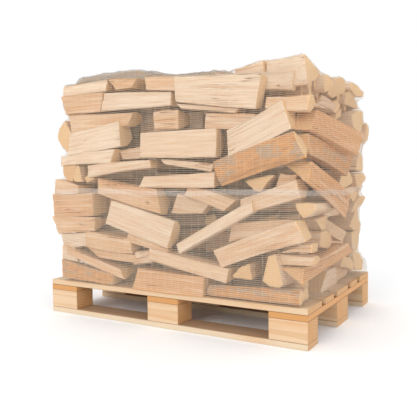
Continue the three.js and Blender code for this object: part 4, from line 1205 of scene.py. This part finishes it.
# %% The grid of the net
NET_INNER = {"left": -0.450, "right": 0.500, "front": -0.325, "back": 0.330, "top": 0.905}
NET_HEM = 0.151
NET_PITCH = 0.007
NET_OFF = 0.0015
LONG_CELLS, SHORT_CELLS, CORNER_CELLS = 60, 42, 8
SIDE_ROWS = round((NET_INNER["top"] - NET_HEM) / NET_PITCH)
EDGE_ROWS = 22
TOP_ROWS = 24
ROWS = SIDE_ROWS + EDGE_ROWS + TOP_ROWS
QUARTER = math.pi / 2


def net_columns():
    """For each column its place on the inner outline and the direction it looks, going round the load."""
    left, right, front, back = (NET_INNER[k] for k in ("left", "right", "front", "back"))
    corners = [(left, front), (right, front), (right, back), (left, back)]
    places, facings = [], []
    for side, cells in enumerate((LONG_CELLS, SHORT_CELLS, LONG_CELLS, SHORT_CELLS)):
        start, end = np.array(corners[side]), np.array(corners[(side + 1) % 4])
        for i in range(cells):
            places.append(start + (end - start) * i / cells)
            facings.append((side - 1) * QUARTER)
        for i in range(CORNER_CELLS):
            places.append(end)
            facings.append((side - 1) * QUARTER + QUARTER * i / CORNER_CELLS)
    return np.array(places), np.array(facings)


def net_rows():
    """For each row its level, how far it has turned up over the edge, and its size against the outline."""
    top = NET_INNER["top"]
    rows = [(NET_HEM + (top - NET_HEM) * i / SIDE_ROWS, 0.0, 1.0) for i in range(SIDE_ROWS)]
    rows += [(top, QUARTER * i / EDGE_ROWS, 1.0) for i in range(EDGE_ROWS)]
    rows += [(top, QUARTER, 1.0 - i / TOP_ROWS) for i in range(TOP_ROWS)]
    return np.array(rows)


column_place, column_facing = net_columns()
ACROSS = len(column_place)
row_level, row_turn, row_size = (column[:, None] for column in net_rows().T)
middle_x = (NET_INNER["left"] + NET_INNER["right"]) / 2
middle_y = (NET_INNER["front"] + NET_INNER["back"]) / 2
base = np.stack([
    middle_x + (column_place[:, 0] - middle_x)[None] * row_size,
    middle_y + (column_place[:, 1] - middle_y)[None] * row_size,
    row_level * np.ones((1, ACROSS)),
], axis=2)
outward = np.stack([
    np.cos(column_facing)[None] * np.cos(row_turn),
    np.sin(column_facing)[None] * np.cos(row_turn),
    np.sin(row_turn) * np.ones((1, ACROSS)),
], axis=2)
print("net grid:", ROWS, "rows of", ACROSS)

# %% Where the logs stop it
FAR_OUT = 0.30
LEAST_OUT = 0.02


def load_tree():
    """One search tree over all logs that lie outside."""
    points, faces, start = [], [], 0
    for piece in load_pieces:
        if piece.name == "logs_inside":
            continue
        mesh = piece.data
        places = np.empty(len(mesh.vertices) * 3)
        mesh.vertices.foreach_get("co", places)
        points.append(places.reshape(-1, 3))
        faces += [[start + v for v in p.vertices] for p in mesh.polygons]
        start += len(mesh.vertices)
    return BVHTree.FromPolygons(np.concatenate(points).tolist(), faces)


logs_tree = load_tree()
stop = np.full((ROWS, ACROSS), LEAST_OUT)
for i in range(ROWS):
    for j in range(ACROSS):
        ray = Vector(outward[i, j])
        start = Vector(base[i, j]) + ray * FAR_OUT
        hit, _, _, distance = logs_tree.ray_cast(start, -ray, FAR_OUT - LEAST_OUT)
        if hit is not None:
            stop[i, j] = FAR_OUT - distance
print("net stops from", round(float(stop.min()), 3), "to", round(float(stop.max()), 3))

# %% Drawing the net in
ROUND_PULL = 0.72
DRAW_STEPS = 500
START_REACH, HOLD_REACH = 14, 1
TOP_SLACK = 0.0003


def widest(values, reach):
    """For each place the largest value within `reach` places of it."""
    grown = values.copy()
    for _ in range(reach):
        up = np.vstack([grown[:1], grown[:-1]])
        down = np.vstack([grown[1:], grown[-1:]])
        grown = np.maximum.reduce([grown, up, down, np.roll(grown, 1, axis=1), np.roll(grown, -1, axis=1)])
    return grown


held = widest(stop, HOLD_REACH) + NET_OFF
out = widest(stop, START_REACH) + NET_OFF
slack = TOP_SLACK * np.clip((np.arange(ROWS)[:, None] - SIDE_ROWS) / EDGE_ROWS, 0, 1)
for _ in range(DRAW_STEPS):
    knots = base + outward * out[:, :, None]
    beside = (np.roll(knots, 1, axis=1) + np.roll(knots, -1, axis=1)) / 2
    below = np.concatenate([knots[:1], knots[:-1]])
    above = np.concatenate([knots[1:], np.roll(knots[-1:], ACROSS // 2, axis=1)])
    wanted = beside * ROUND_PULL + (below + above) / 2 * (1 - ROUND_PULL)
    moved = np.sum((wanted - base) * outward, axis=2) - slack
    out = np.maximum(held, moved)
knots = base + outward * out[:, :, None]
print("net box", knots.reshape(-1, 3).min(axis=0).round(3), knots.reshape(-1, 3).max(axis=0).round(3))

# %% [markdown]
# The hem hangs loose. It is a little uneven all round, and at the rear right corner of the pallet it
# flares out to a point, as in the picture.

# %% Loose hem
HEM_HEIGHT = 0.16
FLARE_OUT, FLARE_COLUMNS = 0.022, 5.0
HEM_WAVE = 0.006
SAG = 0.0035
SAG_BUMPS = (6, 6, 9)
SAG_FROM_HEM, SAG_FROM_TOP = 0.03, 0.05

round_load = np.linspace(0, 2 * math.pi, ACROSS, endpoint=False)
near_hem = np.clip(1 - (row_level - NET_HEM) / HEM_HEIGHT, 0, 1) ** 2
near_hem[SIDE_ROWS:] = 0
rear_right = LONG_CELLS + CORNER_CELLS + SHORT_CELLS + CORNER_CELLS / 2
from_corner = (np.arange(ACROSS) - rear_right + ACROSS / 2) % ACROSS - ACROSS / 2
flare = np.exp(-((from_corner / FLARE_COLUMNS) ** 2)) * FLARE_OUT
flare += (0.5 + 0.5 * np.sin(9 * round_load + 1)) * HEM_WAVE
knots = knots + outward * (near_hem * flare[None])[:, :, None]
sag = SAG * noise(knots.reshape(-1, 3) * SAG_BUMPS, 11).reshape(ROWS, ACROSS)
above_hem = np.clip((row_level - NET_HEM) / SAG_FROM_HEM, 0, 1)
below_top = np.clip((NET_INNER["top"] - row_level) / SAG_FROM_TOP, 0, 1)
knots[:, :, 2] += sag * below_top * above_hem
print("hem reaches", knots[0].min(axis=0).round(3), knots[0].max(axis=0).round(3))

# %% [markdown]
# ## Threads
#
# The net is knitted: strong chains of loops run round the load about 7 mm apart, and thin threads cross
# from chain to chain. Chains and threads are the rows and columns of the grid, so Geometry Nodes turn the
# marked edges of the grid into curves and sweep a small circle along each. One tree serves both, with the
# name of the mark, the thickness and the material as its inputs.

# %% Threads
CHAIN_RADIUS = 0.00065
CROSS_RADIUS = 0.00032
CROSS_EVERY = 2
THREAD_SIDES = 3

thread = Finish("net_white")
twist = thread.noise(thread.place(), 800, 2.0)
thread.finish(thread.mix(twist, linear(230, 214, 192), linear(210, 192, 170)), 0.62)

thread_tree, given, result, mark, to_curve, circle, sweep, smooth, real, paint = tree_with(
    "net_threads", {"Mark": "String", "Radius": "Float", "Sides": "Int", "Thread": "Material"},
    ["InputNamedAttribute", "MeshToCurve", "CurvePrimitiveCircle", "CurveToMesh", "SetShadeSmooth",
     "RealizeInstances", "SetMaterial"])
mark.data_type = "BOOLEAN"
join_sockets(thread_tree, [
    (given, "Mark", mark, "Name"),
    (given, "Geometry", to_curve, "Mesh"),
    (mark, "Attribute", to_curve, "Selection"),
    (given, "Radius", circle, "Radius"),
    (given, "Sides", circle, "Resolution"),
    (to_curve, "Curve", sweep, "Curve"),
    (circle, "Curve", sweep, "Profile Curve"),
    (sweep, "Mesh", smooth, "Geometry"),
    (smooth, "Geometry", real, "Geometry"),
    (real, "Geometry", paint, "Geometry"),
    (given, "Thread", paint, "Material"),
    (paint, "Geometry", result, "Geometry"),
])


def threads(name, mark_name, radius, edges):
    """The pairs of knots that `edges` lists, joined by threads of the given radius."""
    lines = mesh_object(name + "_lines", knots.reshape(-1, 3).tolist(), [], edges)
    marked = lines.data.attributes.new(mark_name, "BOOLEAN", "EDGE")
    marked.data.foreach_set("value", [True] * len(edges))
    sizes = {"Mark": mark_name, "Radius": radius, "Sides": THREAD_SIDES, "Thread": thread.material}
    piece = run_tree(lines, thread_tree, sizes, name)
    dress(piece, "net_wrap")
    print(name, len(piece.data.polygons) * 2, "triangles")
    return piece


def chains(rows):
    return [(i * ACROSS + j, i * ACROSS + (j + 1) % ACROSS) for i in rows for j in range(ACROSS)]


def crossings(columns):
    return [(i * ACROSS + j, (i + 1) * ACROSS + j) for j in columns for i in range(ROWS - 1)]


half = SIDE_ROWS // 2
net_chains_low = threads("net_chains_low", "chain", CHAIN_RADIUS, chains(range(half)))
net_chains_high = threads("net_chains_high", "chain", CHAIN_RADIUS, chains(range(half, ROWS)))
net_cross_threads = threads("net_cross_threads", "cross", CROSS_RADIUS,
                            crossings(range(0, ACROSS, CROSS_EVERY)))

# %% [markdown]
# ## The haze of the net
#
# From a few steps away the thinnest threads can't be told apart, and they read as a pale haze over the dark
# gaps. A sheet along the same knots carries that haze. It is almost clear.

# %% Net sheet
HAZE = 0.04
SHEET_STEP = 2
FILM_ROUGHNESS = 0.7


def ring_faces(count, across):
    """Faces with four sides between rings of `across` points each, where one ring follows the other."""
    faces = []
    for i in range(count - 1):
        for j in range(across):
            k = (j + 1) % across
            faces.append((i * across + j, i * across + k, (i + 1) * across + k, (i + 1) * across + j))
    return faces


def film(name, points, faces, material):
    """A smooth thin layer of the net."""
    made = mesh_object(name, points, faces)
    made.data.polygons.foreach_set("use_smooth", [True] * len(faces))
    made.data.materials.append(material)
    dress(made, "net_wrap")
    return made


def see_through(f, alpha, color):
    """A finish that hides only `alpha` of what lies behind it."""
    f.put(f.shader.inputs["Alpha"], alpha)
    return f.finish(color, FILM_ROUGHNESS)


sheet_rows = sorted({*range(0, ROWS, SHEET_STEP), ROWS - 1})
sheet_knots = knots[sheet_rows][:, ::SHEET_STEP]
count, across = sheet_knots.shape[:2]
last = (count - 1) * across
sheet_points = sheet_knots.reshape(-1, 3).tolist() + [sheet_knots[-1].mean(axis=0).tolist()]
sheet_faces = ring_faces(count, across)
sheet_faces += [(last + j, last + (j + 1) % across, count * across) for j in range(across)]
haze = Finish("net_haze")
haze_color = haze.mix(haze.noise(haze.place(), 60, 2.0), linear(220, 206, 188), linear(204, 190, 172))
net_sheet = film("net_sheet", sheet_points, sheet_faces, see_through(haze, HAZE, haze_color))
print("net sheet faces", len(net_sheet.data.polygons))

# %% [markdown]
# ## The second layer of the net
#
# The lower half of the load has been wound twice, so it looks paler than the upper half, and the edge of the
# second layer shows as a light band with a slight wave. A copy of the knots could be cut at that height, but
# the rows don't fall on it. So each level of the layer is a ring, found by sliding along every column of
# knots to the wanted height, and a hair's breadth further out.

# %% Second layer
LAYER_TOP = 0.546
LAYER_ABOVE_HEM = 0.004
EDGE_LEVELS = (-0.020, -0.013, -0.006, 0.0)
LAYER_RINGS = 44
LAYER_OFF = 0.0012
LAYER_ALPHA, EDGE_ALPHA = 0.065, 0.20


def ring_at(levels, off):
    """A ring round the load with its own height for each column of knots, `off` outside the net."""
    heights = knots[:SIDE_ROWS, :, 2]
    ring = []
    for j in range(ACROSS):
        spot = [np.interp(levels[j], heights[:, j], knots[:SIDE_ROWS, j, k]) for k in range(3)]
        ring.append(np.array(spot) + outward[0, j] * off)
    return np.array(ring)


def rings_film(name, rings, material, right_end=1.0):
    """A thin layer through rings of knots, as far right as `right_end` in metres."""
    points = np.concatenate(rings)
    faces = [face for face in ring_faces(len(rings), ACROSS) if points[face[0]][0] < right_end]
    return film(name, points.tolist(), faces, material)


wave = 0.004 * np.sin(5 * round_load + 0.6) + 0.002 * np.sin(17 * round_load)
hem_level = np.full(ACROSS, NET_HEM + LAYER_ABOVE_HEM)
top_level = LAYER_TOP + wave
layer_rings = [ring_at(hem_level * (1 - share) + top_level * share, LAYER_OFF)
               for share in np.linspace(0, 1, LAYER_RINGS)]
edge_rings = [ring_at(top_level + d, 2 * LAYER_OFF) for d in EDGE_LEVELS]
net_second_layer = rings_film("net_second_layer", layer_rings, see_through(
    Finish("net_second_layer_white"), LAYER_ALPHA, linear(220, 202, 180)))
net_layer_edge = rings_film("net_layer_edge", edge_rings, see_through(
    Finish("net_layer_edge_white"), EDGE_ALPHA, linear(232, 224, 216)))
print("second layer up to", LAYER_TOP)

# %% [markdown]
# ## The gathered net on top
#
# On top the net was drawn together and tucked in, so many folds lie over each other there, and they show as a
# grey strip along the upper edge. Every fold could be a strip of its own, but from the ground only their
# edge shows. One more layer does it, pushed up and down by noise and less clear than the net below it. It is
# thicker in some places than in others, and thins out to the right.

# %% Gathered net
GATHER_FROM = 0.5
GATHER_OFF = 0.003
GATHER_FOLD = 0.008
FOLD_BUMPS = (34, 34, 60)
GATHER_RIGHT = 0.30
GATHER_FADE = 0.25
GATHER_THIN, GATHER_THICK = 0.20, 0.45

gathered = []
for i in range(SIDE_ROWS + round(EDGE_ROWS * GATHER_FROM), ROWS, 2):
    fold = np.abs(noise(knots[i] * FOLD_BUMPS, 17))
    gathered.append(knots[i] + outward[i] * (GATHER_OFF + GATHER_FOLD * fold)[:, None])
grey = Finish("net_gathered_grey")
on_top = grey.place()
thick = grey.plus(GATHER_THIN, grey.times(grey.noise(on_top, 22, 2.0), GATHER_THICK))
fade = grey.ramp(grey.split(on_top)["X"], GATHER_RIGHT, GATHER_RIGHT - GATHER_FADE)
grey_finish = see_through(grey, grey.times(thick, fade), linear(172, 163, 152))
net_gathered = rings_film("net_gathered", gathered, grey_finish, GATHER_RIGHT)
print("gathered rows:", len(gathered))
